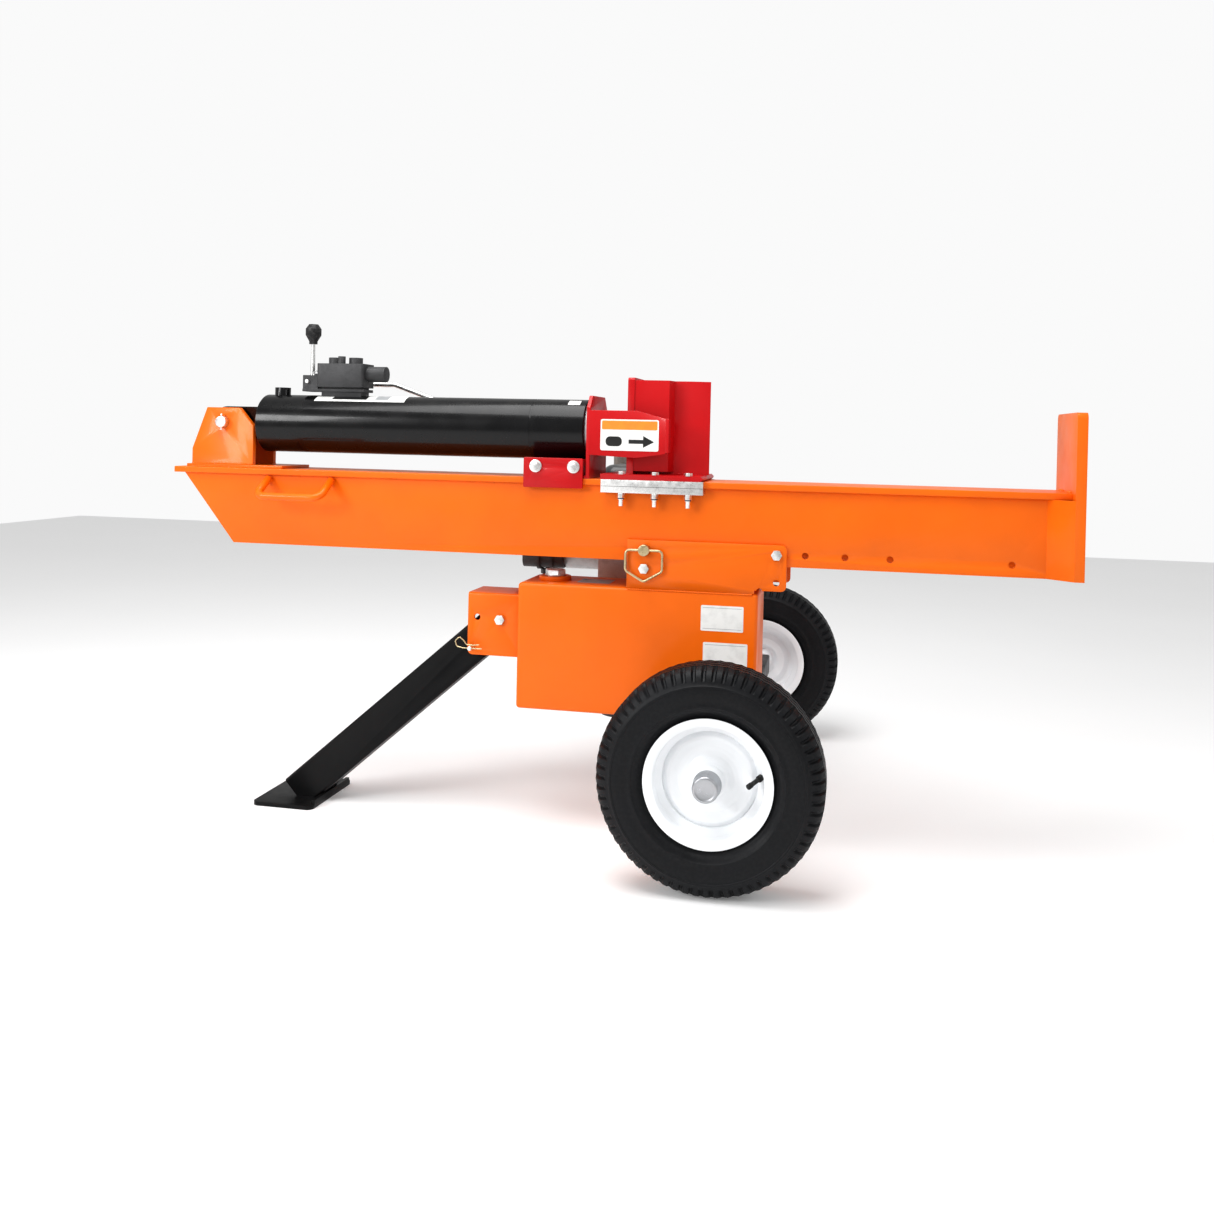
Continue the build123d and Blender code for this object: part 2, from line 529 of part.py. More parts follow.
save(beam_channel, "beam_channel")

with BuildPart() as beam_top_plate:
    block(BEAM_LEFT, FOOT_X, BEAM_Y - TOP_HALF, BEAM_Y + TOP_HALF, WEB_TOP, TOP_Z)
    chamfer(beam_top_plate.edges().filter_by(Axis.X), length=1)
save(beam_top_plate, "beam_top_plate")

GUSSET_T = 8.0
with BuildPart() as foot_plate:
    with BuildSketch(at_x(FOOT_X)):
        with Locations((BEAM_Y, (WEB_BOTTOM + FOOT_TOP) / 2)):
            foot_face = Rectangle(2 * FOOT_HALF, FOOT_TOP - WEB_BOTTOM)
        fillet(foot_face.vertices().group_by(Axis.Y)[-1], radius=12)
    extrude(amount=FOOT_T)
    for side in (-1, 1):
        web = BEAM_Y + side * WEB_HALF
        edge = BEAM_Y + side * (FOOT_HALF - 1)
        slant = edge - web
        with BuildSketch(at_z(WEB_BOTTOM)):
            with BuildLine():
                Polyline((GUSSET_X, web), (FOOT_X, edge), (FOOT_X, edge - side * GUSSET_T * 1.4),
                         (GUSSET_X + GUSSET_T * 1.4, web), close=True)
            make_face()
        extrude(amount=WEB_TOP - WEB_BOTTOM)
save(foot_plate, "foot_plate")

with BuildPart() as cylinder_ears:
    block(-930, -700, BEAM_Y - EAR_HALF - 12, BEAM_Y + EAR_HALF + 12, TOP_Z, TOP_Z + 6.35)
    for side in (-1, 1):
        low, high = sorted((BEAM_Y + side * EAR_HALF, BEAM_Y + side * (EAR_HALF - 12.7)))
        with BuildSketch(at_y(high)):
            with BuildLine():
                Polyline((-925, TOP_Z + 6.35), (-925, TOP_Z + 40), (-890, CYL_Z + 32), (-812, CYL_Z + 32),
                         (-777, CYL_Z - 8), (-777, TOP_Z + 6.35), close=True)
            make_face()
            with Locations((EAR_PIN_X, CYL_Z)):
                Circle(12.75, mode=Mode.SUBTRACT)
        extrude(amount=high - low)
    block(-925, -912, BEAM_Y - EAR_HALF + 12.7, BEAM_Y + EAR_HALF - 12.7, TOP_Z + 6.35, TOP_Z + 40)
save(cylinder_ears, "cylinder_ears")

with BuildPart() as base_pin:
    rod_y(EAR_PIN_X, CYL_Z, BEAM_Y - EAR_HALF - 14, BEAM_Y + EAR_HALF + 14, 12.7)
    chamfer(base_pin.edges().filter_by(GeomType.CIRCLE), length=1.5)
    rod_z(EAR_PIN_X, BEAM_Y - EAR_HALF - 8, CYL_Z - 18, CYL_Z + 18, 2)
    rod_z(EAR_PIN_X, BEAM_Y + EAR_HALF + 8, CYL_Z - 18, CYL_Z + 18, 2)
save(base_pin, "base_pin")

# ---- cylinder -------------------------------------------------------------------------------
TANG_HALF = 34.0
PORT_X = -100.0
BASE_PORT_X = -735.0
with BuildPart() as cylinder_barrel:
    rod_x(BEAM_Y, CYL_Z, BARREL_X0, BARREL_X1, BARREL_R)
    chamfer(cylinder_barrel.edges().filter_by(GeomType.CIRCLE), length=2)
    rod_x(BEAM_Y, CYL_Z, BARREL_X0 + 22, BARREL_X1 + 1, BORE_R, mode=Mode.SUBTRACT)
    with BuildSketch(at_y(BEAM_Y + TANG_HALF)):
        with Locations(((EAR_PIN_X + BARREL_X0) / 2, CYL_Z)):
            Rectangle(BARREL_X0 - EAR_PIN_X, 70)
        with Locations((EAR_PIN_X, CYL_Z)):
            Circle(35)
            Circle(12.75, mode=Mode.SUBTRACT)
    extrude(amount=2 * TANG_HALF)
    rod_z(BASE_PORT_X, BEAM_Y, CYL_Z + BORE_R + 3, CYL_Z + BARREL_R + 16, 17)
    rod_z(BASE_PORT_X, BEAM_Y, CYL_Z + BORE_R - 10, CYL_Z + BARREL_R + 17, 9.5, mode=Mode.SUBTRACT)
    rod_y(PORT_X, CYL_Z, BEAM_Y + BORE_R + 3, BEAM_Y + BARREL_R + 16, 17)
    rod_y(PORT_X, CYL_Z, BEAM_Y + BORE_R - 10, BEAM_Y + BARREL_R + 17, 9.5, mode=Mode.SUBTRACT)
save(cylinder_barrel, "cylinder_barrel")

GLAND_L = 52.0
with BuildPart() as cylinder_gland:
    rod_x(BEAM_Y, CYL_Z, BARREL_X1 - GLAND_L, BARREL_X1, BORE_R - 0.1)
    rod_x(BEAM_Y, CYL_Z, BARREL_X1, STRIP_X, BORE_R + 1)
    rod_x(BEAM_Y, CYL_Z, BARREL_X1 - GLAND_L - 1, STRIP_X + 1, ROD_R + FIT, mode=Mode.SUBTRACT)
    for x in (BARREL_X1 - 40, BARREL_X1 - 20):
        with BuildSketch(at_x(x)):
            with Locations((BEAM_Y, CYL_Z)):
                Circle(BORE_R)
                Circle(BORE_R - 3, mode=Mode.SUBTRACT)
        extrude(amount=4, mode=Mode.SUBTRACT)
save(cylinder_gland, "cylinder_gland")

ARM_Y0 = 72.0
ARM_Y1 = 78.0
FINGER_X = 150.0
with BuildPart() as stripper:
    with BuildSketch(at_x(STRIP_X)):
        with BuildLine():
            Polyline((BEAM_Y - TOP_HALF, TOP_Z + 6), (BEAM_Y - TOP_HALF, CYL_Z + 46),
                     (BEAM_Y - TOP_HALF + 22, CYL_Z + 71), (BEAM_Y + TOP_HALF - 22, CYL_Z + 71),
                     (BEAM_Y + TOP_HALF, CYL_Z + 46), (BEAM_Y + TOP_HALF, TOP_Z + 6), close=True)
        make_face()
        with Locations((BEAM_Y, CYL_Z)):
            Circle(ROD_R + 5, mode=Mode.SUBTRACT)
    extrude(amount=STRIP_T)
    block(-19, STRIP_X + STRIP_T, BEAM_Y - TOP_HALF, BEAM_Y + TOP_HALF, TOP_Z, TOP_Z + 6)
    for side in (-1, 1):
        low, high = sorted((BEAM_Y + side * ARM_Y0, BEAM_Y + side * ARM_Y1))
        outline_y([(STRIP_X + STRIP_T, 868), (89, 868), (FINGER_X, 853), (FINGER_X, 781), (89, 772),
                   (STRIP_X + STRIP_T, 776)], low, high)
        inner, outer = sorted((BEAM_Y + side * (WING_HALF + 4), BEAM_Y + side * (ARM_Y1 + 3)))
        block(FINGER_X, FINGER_X + 7, inner, outer, 784, 853)
save(stripper, "stripper")

CLAMP_X0 = -145.0
CLAMP_X1 = -19.5
CLAMP_Z0 = 706.5
CLAMP_Z1 = 768.0
CLAMP_OUT = 85.0
CLAMP_BOLTS_X = (-119.0, -38.5)
CLAMP_BOLT_Z = 750.5
with BuildPart() as saddle_clamps:
    block(CLAMP_X0 + 4, CLAMP_X1 - 1, BEAM_Y - TOP_HALF, BEAM_Y + TOP_HALF, TOP_Z, CLAMP_Z1 - 2)
    rod_x(BEAM_Y, CYL_Z, CLAMP_X0, CLAMP_X1 + 1, BARREL_R, mode=Mode.SUBTRACT)
    for side in (-1, 1):
        low, high = sorted((BEAM_Y + side * TOP_HALF, BEAM_Y + side * CLAMP_OUT))
        with BuildSketch(at_y(high)):
            with Locations(((CLAMP_X0 + CLAMP_X1) / 2, (CLAMP_Z0 + CLAMP_Z1) / 2)):
                RectangleRounded(CLAMP_X1 - CLAMP_X0, CLAMP_Z1 - CLAMP_Z0, 3)
        extrude(amount=high - low)
    for x in CLAMP_BOLTS_X:
        rod_y(x, CLAMP_BOLT_Z, BEAM_Y - 90, BEAM_Y - 40, 5.6, mode=Mode.SUBTRACT)
        rod_y(x, CLAMP_BOLT_Z, BEAM_Y + 40, BEAM_Y + 90, 5.6, mode=Mode.SUBTRACT)
save(saddle_clamps, "saddle_clamps")

with BuildPart() as clamp_bolts:
    for side in (-1, 1):
        for x in CLAMP_BOLTS_X:
            shank = sorted((BEAM_Y + side * 46, BEAM_Y + side * (CLAMP_OUT + 2.5)))
            washer = sorted((BEAM_Y + side * CLAMP_OUT, BEAM_Y + side * (CLAMP_OUT + 2.5)))
            head = sorted((BEAM_Y + side * (CLAMP_OUT + 2.5), BEAM_Y + side * (CLAMP_OUT + 9.5)))
            rod_y(x, CLAMP_BOLT_Z, shank[0], shank[1], 5.5)
            rod_y(x, CLAMP_BOLT_Z, washer[0], washer[1], 13)
            hex_y(x, CLAMP_BOLT_Z, head[0], head[1], 15.9)
save(clamp_bolts, "clamp_bolts")

HANDLE_X0 = -725.5
HANDLE_X1 = -578.5
HANDLE_OUT = 47.0
HANDLE_R = 7.9
near_web = BEAM_Y - WEB_HALF
root = (near_web - 4, WEB_TOP - 8)
grip = (near_web - 9 - HANDLE_OUT, WEB_TOP - 6 - 38)
with BuildPart() as lift_handle:
    with BuildLine() as handle_path:
        FilletPolyline((HANDLE_X0, *root), (HANDLE_X0, *grip), (HANDLE_X1, *grip), (HANDLE_X1, *root), radius=20)
    with BuildSketch(Plane(origin=handle_path.line @ 0, z_dir=handle_path.line % 0)):
        Circle(HANDLE_R)
    sweep()
    block(HANDLE_X0 - 30, HANDLE_X1 + 30, near_web, near_web + 30, WEB_TOP - 60, WEB_TOP + 30, mode=Mode.SUBTRACT)
    block(HANDLE_X0 - 30, HANDLE_X1 + 30, near_web - 60, near_web + 30, WEB_TOP, WEB_TOP + 30, mode=Mode.SUBTRACT)
save(lift_handle, "lift_handle")

# ---- valve and its pipe ---------------------------------------------------------------------
VALVE_X0 = -640.0
VALVE_X1 = -530.0
VALVE_MID = (VALVE_X0 + VALVE_X1) / 2
VALVE_Z0 = CYL_Z + BARREL_R + 18
VALVE_Z1 = VALVE_Z0 + 52
SPOOL_Z = VALVE_Z0 + 30
SPOOL_R = 7.9
LEVER_PIVOT_X = VALVE_X0 - 24
LEVER_PIVOT_Z = VALVE_Z0 + 12
LEVER_PIN_R = 4.0
PIPE_R = 6.35
with BuildPart() as valve_body:
    block(VALVE_X0, VALVE_X1, BEAM_Y - 30, BEAM_Y + 30, VALVE_Z0, VALVE_Z1)
    fillet(valve_body.edges().filter_by(Axis.Z), radius=6)
    for x in (VALVE_MID - 24, VALVE_MID + 24):
        rod_z(x, BEAM_Y, VALVE_Z1, VALVE_Z1 + 14, 15)
    rod_x(BEAM_Y, SPOOL_Z, VALVE_X1, VALVE_X1 + 42, 17)
    rod_y(VALVE_MID, VALVE_Z0 + 12, BEAM_Y + 30, BEAM_Y + 42, 14)
    rod_z(VALVE_MID, BEAM_Y - 20, VALVE_Z1, VALVE_Z1 + 16, 8)
    block(VALVE_X0 + 8, VALVE_X1 - 8, BEAM_Y - 20, BEAM_Y + 20, CYL_Z + 50, VALVE_Z0)
    block(VALVE_X0 - 36, VALVE_X1, BEAM_Y - 24, BEAM_Y + 24, VALVE_Z0 - 10, VALVE_Z0 - 4)
    for y in (BEAM_Y - 22, BEAM_Y + 15):
        block(VALVE_X0 - 36, VALVE_X0, y, y + 7, VALVE_Z0 - 4, VALVE_Z0 + 26)
    rod_y(LEVER_PIVOT_X, LEVER_PIVOT_Z, BEAM_Y - 30, BEAM_Y + 30, LEVER_PIN_R + FIT, mode=Mode.SUBTRACT)
    rod_x(BEAM_Y, SPOOL_Z, VALVE_X0 - 2, VALVE_X1 + 36, SPOOL_R + FIT, mode=Mode.SUBTRACT)
    rod_x(BEAM_Y, CYL_Z, VALVE_X0 - 60, VALVE_X1 + 60, BARREL_R, mode=Mode.SUBTRACT)
save(valve_body, "valve_body")

with BuildPart() as valve_spool:
    rod_x(BEAM_Y, SPOOL_Z, VALVE_X0 - 15, VALVE_X1 + 20, SPOOL_R)
save(valve_spool, "valve_spool")

with BuildPart() as valve_lever:
    rod_y(LEVER_PIVOT_X, LEVER_PIVOT_Z, BEAM_Y - 28, BEAM_Y + 28, LEVER_PIN_R)
    rod_y(LEVER_PIVOT_X, LEVER_PIVOT_Z, BEAM_Y - 9, BEAM_Y + 9, 9)
    with BuildSketch(at_z(LEVER_PIVOT_Z)):
        with Locations((LEVER_PIVOT_X, BEAM_Y)):
            Circle(5.5)
    extrude(amount=100, taper=1)
    with BuildSketch(at_z(LEVER_PIVOT_Z + 84)):
        with Locations((LEVER_PIVOT_X, BEAM_Y)):
            Circle(9)
    extrude(amount=10)
    with BuildSketch(at_x(LEVER_PIVOT_X)):
        with BuildLine():
            Polyline((BEAM_Y, LEVER_PIVOT_Z + 88), (BEAM_Y, LEVER_PIVOT_Z + 128), (BEAM_Y + 10, LEVER_PIVOT_Z + 128),
                     (BEAM_Y + 17, LEVER_PIVOT_Z + 118), (BEAM_Y + 17, LEVER_PIVOT_Z + 104),
                     (BEAM_Y + 9, LEVER_PIVOT_Z + 90), close=True)
        make_face()
    revolve(axis=Axis((LEVER_PIVOT_X, BEAM_Y, 0), (0, 0, 1)))
save(valve_lever, "valve_lever")

PIPE_Y = BEAM_Y + BARREL_R + 46
PIPE_Z = VALVE_Z0 + 12
with BuildPart() as steel_pipe:
    with BuildLine() as pipe_path:
        FilletPolyline((VALVE_MID, BEAM_Y + 42, PIPE_Z), (VALVE_MID, PIPE_Y, PIPE_Z),
                       (VALVE_MID + 70, PIPE_Y, PIPE_Z), (-240, PIPE_Y, CYL_Z), (PORT_X, PIPE_Y, CYL_Z),
                       (PORT_X, BEAM_Y + BARREL_R + 16, CYL_Z), radius=16)
    with BuildSketch(Plane(origin=pipe_path.line @ 0, z_dir=pipe_path.line % 0)):
        Circle(PIPE_R)
    sweep(transition=Transition.ROUND)
save(steel_pipe, "steel_pipe")

# ---- wedge ----------------------------------------------------------------------------------
WEDGE_Z0 = SLIDE_Z1
with BuildPart() as wedge:
    with BuildSketch(at_z(TOP_Z + GAP)):
        with Locations(((SLIDE_X0 + SLIDE_X1) / 2, BEAM_Y)):
            Rectangle(SLIDE_X1 - SLIDE_X0, 2 * SLIDE_HALF)
    extrude(amount=SLIDE_Z1 - TOP_Z - GAP)
    chamfer(wedge.edges().filter_by(Axis.Y).sort_by(Axis.X)[-2:], length=4)
    with BuildSketch(at_z(WEDGE_Z0)):
        with BuildLine():
            Polyline((WEDGE_X0, BEAM_Y - BLADE_HALF), (BEVEL_X, BEAM_Y - BLADE_HALF), (TIP_X, BEAM_Y - 1.2),
                     (TIP_X, BEAM_Y + 1.2), (BEVEL_X, BEAM_Y + BLADE_HALF), (WEDGE_X0, BEAM_Y + BLADE_HALF),
                     close=True)
        make_face()
    extrude(amount=WEDGE_TOP - WEDGE_Z0)
    for side in (-1, 1):
        with BuildSketch(at_z(WEDGE_Z0 + 6)):
            with BuildLine():
                Polyline((WEDGE_X0 + 14, BEAM_Y + side * WING_HALF), (WING_X, BEAM_Y + side * (WING_HALF - 8)),
                         (WING_X + 7, BEAM_Y + side * BLADE_HALF), (WING_X - 6, BEAM_Y + side * BLADE_HALF),
                         (WING_X - 12, BEAM_Y + side * (WING_HALF - 18)),
                         (WEDGE_X0 + 14, BEAM_Y + side * (WING_HALF - 10)), close=True)
            make_face()
        extrude(amount=WEDGE_TOP - WEDGE_Z0 - 6)
    with BuildSketch(at_x(WEDGE_X0)):
        with Locations((BEAM_Y, (WEDGE_Z0 + WEDGE_TOP + 5) / 2)):
            pusher_face = Rectangle(2 * WING_HALF + 4, WEDGE_TOP + 5 - WEDGE_Z0)
        fillet(pusher_face.vertices().group_by(Axis.Y)[-1], radius=6)
    extrude(amount=14)
    for x in GIB_BOLTS_X:
        for side in (-1, 1):
            rod_z(x, BEAM_Y + side * GIB_BOLT_Y, TOP_Z - 5, SLIDE_Z1 + 5, GIB_BOLT_R + FIT, mode=Mode.SUBTRACT)
save(wedge, "wedge")

GIB_IN = WEB_HALF + 1.2
with BuildPart() as gib_bars:
    for side in (-1, 1):
        spacer = sorted((BEAM_Y + side * (TOP_HALF + GAP), BEAM_Y + side * SLIDE_HALF))
        keeper = sorted((BEAM_Y + side * GIB_IN, BEAM_Y + side * SLIDE_HALF))
        block(SLIDE_X0 + 1.5, SLIDE_X1 + 1.5, spacer[0], spacer[1], WEB_TOP - GAP, TOP_Z + GAP)
        block(SLIDE_X0 + 1.5, SLIDE_X1 + 1.5, keeper[0], keeper[1], WEB_TOP - GAP - 13, WEB_TOP - GAP)
    for x in GIB_BOLTS_X:
        for side in (-1, 1):
            rod_z(x, BEAM_Y + side * GIB_BOLT_Y, WEB_TOP - 30, TOP_Z + 5, GIB_BOLT_R + FIT, mode=Mode.SUBTRACT)
save(gib_bars, "gib_bars")

NUT_Z = WEB_TOP - GAP - 13
with BuildPart() as gib_bolts:
    for x in GIB_BOLTS_X:
        for side in (-1, 1):
            y = BEAM_Y + side * GIB_BOLT_Y
            rod_z(x, y, NUT_Z - 27, SLIDE_Z1, GIB_BOLT_R)
            hex_z(x, y, SLIDE_Z1, SLIDE_Z1 + 6, 14.3)
            hex_z(x, y, NUT_Z - 10, NUT_Z, 14.3)
            rod_z(x, y, NUT_Z - 14, NUT_Z - 10, 6)
save(gib_bolts, "gib_bolts")

PISTON_X0 = BARREL_X0 + 28
PISTON_L = 46.0
with BuildPart() as cylinder_rod:
    rod_x(BEAM_Y, CYL_Z, PISTON_X0 + 4, WEDGE_X0, ROD_R)
    chamfer(cylinder_rod.edges().filter_by(GeomType.CIRCLE).sort_by(Axis.X)[0], length=2)
save(cylinder_rod, "cylinder_rod")

with BuildPart() as piston:
    rod_x(BEAM_Y, CYL_Z, PISTON_X0, PISTON_X0 + PISTON_L, BORE_R - FIT)
    rod_x(BEAM_Y, CYL_Z, PISTON_X0 + 4, PISTON_X0 + PISTON_L + 1, ROD_R, mode=Mode.SUBTRACT)
save(piston, "piston")

# ---- engine and pump ------------------------------------------------------------------------
FAN_X1 = ENGINE_X1 + 62
HEAD_TILT = 25.0
ENGINE_Y0 = CRANK_Y - 95
ENGINE_Y1 = CRANK_Y + 95
with BuildPart() as engine_block:
    with BuildSketch(at_x(ENGINE_X0)):
        with BuildLine():
            Polyline((ENGINE_Y0, DECK_Z + 12), (ENGINE_Y1, DECK_Z + 12), (ENGINE_Y1, CRANK_Z + 20),
                     (ENGINE_Y1 - 25, CRANK_Z + 84), (ENGINE_Y0 + 60, CRANK_Z + 84), (ENGINE_Y0, CRANK_Z + 34),
                     close=True)
        crank_face = make_face()
        fillet(crank_face.vertices(), radius=14)
    extrude(amount=ENGINE_X1 - ENGINE_X0)
    block(ENGINE_X0 + 8, ENGINE_X1 - 8, ENGINE_Y0 - 4, ENGINE_Y1 + 4, DECK_Z, DECK_Z + 14)
    tilt = Plane(origin=((ENGINE_X0 + ENGINE_X1) / 2, CRANK_Y + 50, CRANK_Z + 52),
                 z_dir=(0, cos(radians(HEAD_TILT)), sin(radians(HEAD_TILT))), x_dir=(1, 0, 0))
    with BuildSketch(tilt):
        Rectangle(92, 92)
    extrude(amount=102)
    for i in range(7):
        with BuildSketch(tilt.offset(48 + 8 * i)):
            RectangleRounded(118, 112, 10)
        extrude(amount=3)
    rod_x(CRANK_Y, CRANK_Z, ENGINE_X0 - 8, ENGINE_X1 + 10, 26, mode=Mode.SUBTRACT)
    rod_x(CRANK_Y - 32, CRANK_Z + 62, ENGINE_X0 - 1, ENGINE_X0 + 10, 3 + FIT, mode=Mode.SUBTRACT)
    for x, y in ENGINE_BOLTS:
        rod_z(x, y, DECK_Z - 2, DECK_Z + 14, 4.2, mode=Mode.SUBTRACT)
        rod_z(x, y, DECK_Z + 14, DECK_Z + 34, 10, mode=Mode.SUBTRACT)
save(engine_block, "engine_block")

with BuildPart() as cylinder_head:
    with BuildSketch(tilt.offset(102.2)):
        RectangleRounded(112, 106, 12)
    extrude(amount=26)
    with BuildSketch(tilt.offset(128)):
        RectangleRounded(76, 82, 12)
    extrude(amount=22)
    fillet(cylinder_head.faces().sort_by(Axis((0, 0, 0), tilt.z_dir))[-1].edges(), radius=6)
save(cylinder_head, "cylinder_head")

FAN_R = 104.0
with BuildPart() as fan_housing:
    rod_x(CRANK_Y, CRANK_Z, ENGINE_X1 + 0.5, FAN_X1 - 22, FAN_R)
    rod_x(CRANK_Y, CRANK_Z, FAN_X1 - 22, FAN_X1, FAN_R - 26)
    fillet(fan_housing.edges().filter_by(GeomType.CIRCLE).group_by(Axis.X)[-1], radius=10)
    rod_x(CRANK_Y, CRANK_Z, ENGINE_X1 - 1, FAN_X1 - 26, FAN_R - 8, mode=Mode.SUBTRACT)
    with BuildSketch(at_x(FAN_X1 - 30)):
        with Locations((CRANK_Y, CRANK_Z)):
            with PolarLocations(56, 12):
                SlotOverall(30, 8)
    extrude(amount=40, mode=Mode.SUBTRACT)
    block(FAN_X1 - 54, FAN_X1 - 24, CRANK_Y + 64, CRANK_Y + 92, CRANK_Z + 62, CRANK_Z + 96)
save(fan_housing, "fan_housing")

with BuildPart() as muffler:
    block(-52, 62, CRANK_Y + 92, CRANK_Y + 172, CRANK_Z + 168, CRANK_Z + 238)
    fillet(muffler.edges(), radius=14)
    rod_y(5, CRANK_Z + 200, CRANK_Y + 172, CRANK_Y + 196, 11)
    rod_y(5, CRANK_Z + 200, CRANK_Y + 174, CRANK_Y + 197, 8.5, mode=Mode.SUBTRACT)
    rod_z(5, CRANK_Y + 148, CRANK_Z + 158, CRANK_Z + 172, 12)
save(muffler, "muffler")

FUEL_Z0 = CRANK_Z + 108
FUEL_Z1 = FUEL_Z0 + 96
FUEL_CAP_X = 70.0
FUEL_CAP_Y = CRANK_Y - 42
with BuildPart() as fuel_tank:
    with BuildSketch(at_z(FUEL_Z0)):
        with Locations((75, CRANK_Y - 42)):
            RectangleRounded(222, 160, 34)
    extrude(amount=FUEL_Z1 - FUEL_Z0)
    fillet(fuel_tank.faces().sort_by(Axis.Z)[-1].edges(), radius=26)
    fillet(fuel_tank.faces().sort_by(Axis.Z)[0].edges(), radius=12)
    offset(amount=-1.6, kind=Kind.INTERSECTION, mode=Mode.SUBTRACT)
    rod_z(FUEL_CAP_X, FUEL_CAP_Y, FUEL_Z1 - 10, FUEL_Z1 + 9, 21)
    rod_z(FUEL_CAP_X, FUEL_CAP_Y, FUEL_Z1 - 20, FUEL_Z1 + 10, 18, mode=Mode.SUBTRACT)
    for x in (-10, 100):
        block(x, x + 14, CRANK_Y - 30, CRANK_Y + 16, CRANK_Z + 84, FUEL_Z0)
save(fuel_tank, "fuel_tank")

with BuildPart() as fuel_cap:
    rod_z(FUEL_CAP_X, FUEL_CAP_Y, FUEL_Z1 + 9.4, FUEL_Z1 + 30, 26)
    fillet(fuel_cap.edges().filter_by(GeomType.CIRCLE).group_by(Axis.Z)[-1], radius=4)
    with BuildSketch(at_z(FUEL_Z1 + 9.4)):
        with Locations((FUEL_CAP_X, FUEL_CAP_Y)):
            with PolarLocations(26.5, 16):
                Circle(2)
    extrude(amount=15, mode=Mode.SUBTRACT)
    rod_z(FUEL_CAP_X, FUEL_CAP_Y, FUEL_Z1 - 4, FUEL_Z1 + 9.4, 17.6)
save(fuel_cap, "fuel_cap")

AIR_X = -92.0
with BuildPart() as air_cleaner:
    block(-150, -50, CRANK_Y - 70, CRANK_Y + 30, CRANK_Z + 108, CRANK_Z + 200)
    fillet(air_cleaner.edges().filter_by(Axis.Z), radius=22)
    fillet(air_cleaner.faces().sort_by(Axis.Z)[-1].edges(), radius=14)
    block(-110, -50, CRANK_Y - 10, CRANK_Y + 30, CRANK_Z + 60, CRANK_Z + 108)
    block(-52, -40.5, CRANK_Y - 6, CRANK_Y + 26, CRANK_Z + 64, CRANK_Z + 82)
    rod_z(AIR_X, CRANK_Y - 20, CRANK_Z + 200, CRANK_Z + 212, 9)
save(air_cleaner, "air_cleaner")

with BuildPart() as crankshaft:
    rod_x(CRANK_Y, CRANK_Z, ENGINE_X0 - 46, FAN_X1 - 40, 9.5)
    rod_x(CRANK_Y, CRANK_Z, ENGINE_X0 + 6, ENGINE_X0 + 22, 25.9)
    rod_x(CRANK_Y, CRANK_Z, ENGINE_X1 - 22, ENGINE_X1 - 6, 25.9)
    rod_x(CRANK_Y, CRANK_Z, (ENGINE_X0 + ENGINE_X1) / 2 - 30, (ENGINE_X0 + ENGINE_X1) / 2 + 30, 22)
save(crankshaft, "crankshaft")

with BuildPart() as flywheel:
    rod_x(CRANK_Y, CRANK_Z, ENGINE_X1 + 4, ENGINE_X1 + 16, 88)
    with BuildSketch(at_x(ENGINE_X1 + 16)):
        with Locations((CRANK_Y, CRANK_Z)):
            with PolarLocations(68, 14):
                Rectangle(30, 4)
            Circle(30)
    extrude(amount=12)
    rod_x(CRANK_Y, CRANK_Z, ENGINE_X1, ENGINE_X1 + 30, 9.5, mode=Mode.SUBTRACT)
save(flywheel, "flywheel")

PUMP_X1 = ENGINE_X0 - 96
with BuildPart() as shaft_coupling:
    rod_x(CRANK_Y, CRANK_Z, ENGINE_X0 - 50, ENGINE_X0 - 14, 24)
    rod_x(CRANK_Y, CRANK_Z, ENGINE_X0 - 86, ENGINE_X0 - 53, 24)
    with BuildSketch(at_x(ENGINE_X0 - 62)):
        with Locations((CRANK_Y, CRANK_Z)):
            with PolarLocations(16, 3):
                Rectangle(11, 11)
    extrude(amount=22)
    rod_x(CRANK_Y, CRANK_Z, ENGINE_X0 - 46, ENGINE_X0 - 13, 9.5, mode=Mode.SUBTRACT)
    rod_x(CRANK_Y, CRANK_Z, PUMP_X1 - 60, ENGINE_X0 - 80, 7.9)
save(shaft_coupling, "shaft_coupling")

with BuildPart() as pump_housing:
    rod_x(CRANK_Y, CRANK_Z, PUMP_X1, ENGINE_X0 - 0.5, 46)
    rod_x(CRANK_Y, CRANK_Z, ENGINE_X0 - 10, ENGINE_X0 - 0.5, 60)
    rod_x(CRANK_Y, CRANK_Z, PUMP_X1 + 8, ENGINE_X0, 38, mode=Mode.SUBTRACT)
    rod_x(CRANK_Y, CRANK_Z, PUMP_X1 - 1, PUMP_X1 + 9, 24, mode=Mode.SUBTRACT)
    block(PUMP_X1 + 22, ENGINE_X0 - 24, CRANK_Y - 24, CRANK_Y + 24, CRANK_Z + 30, CRANK_Z + 50, mode=Mode.SUBTRACT)
save(pump_housing, "pump_housing")

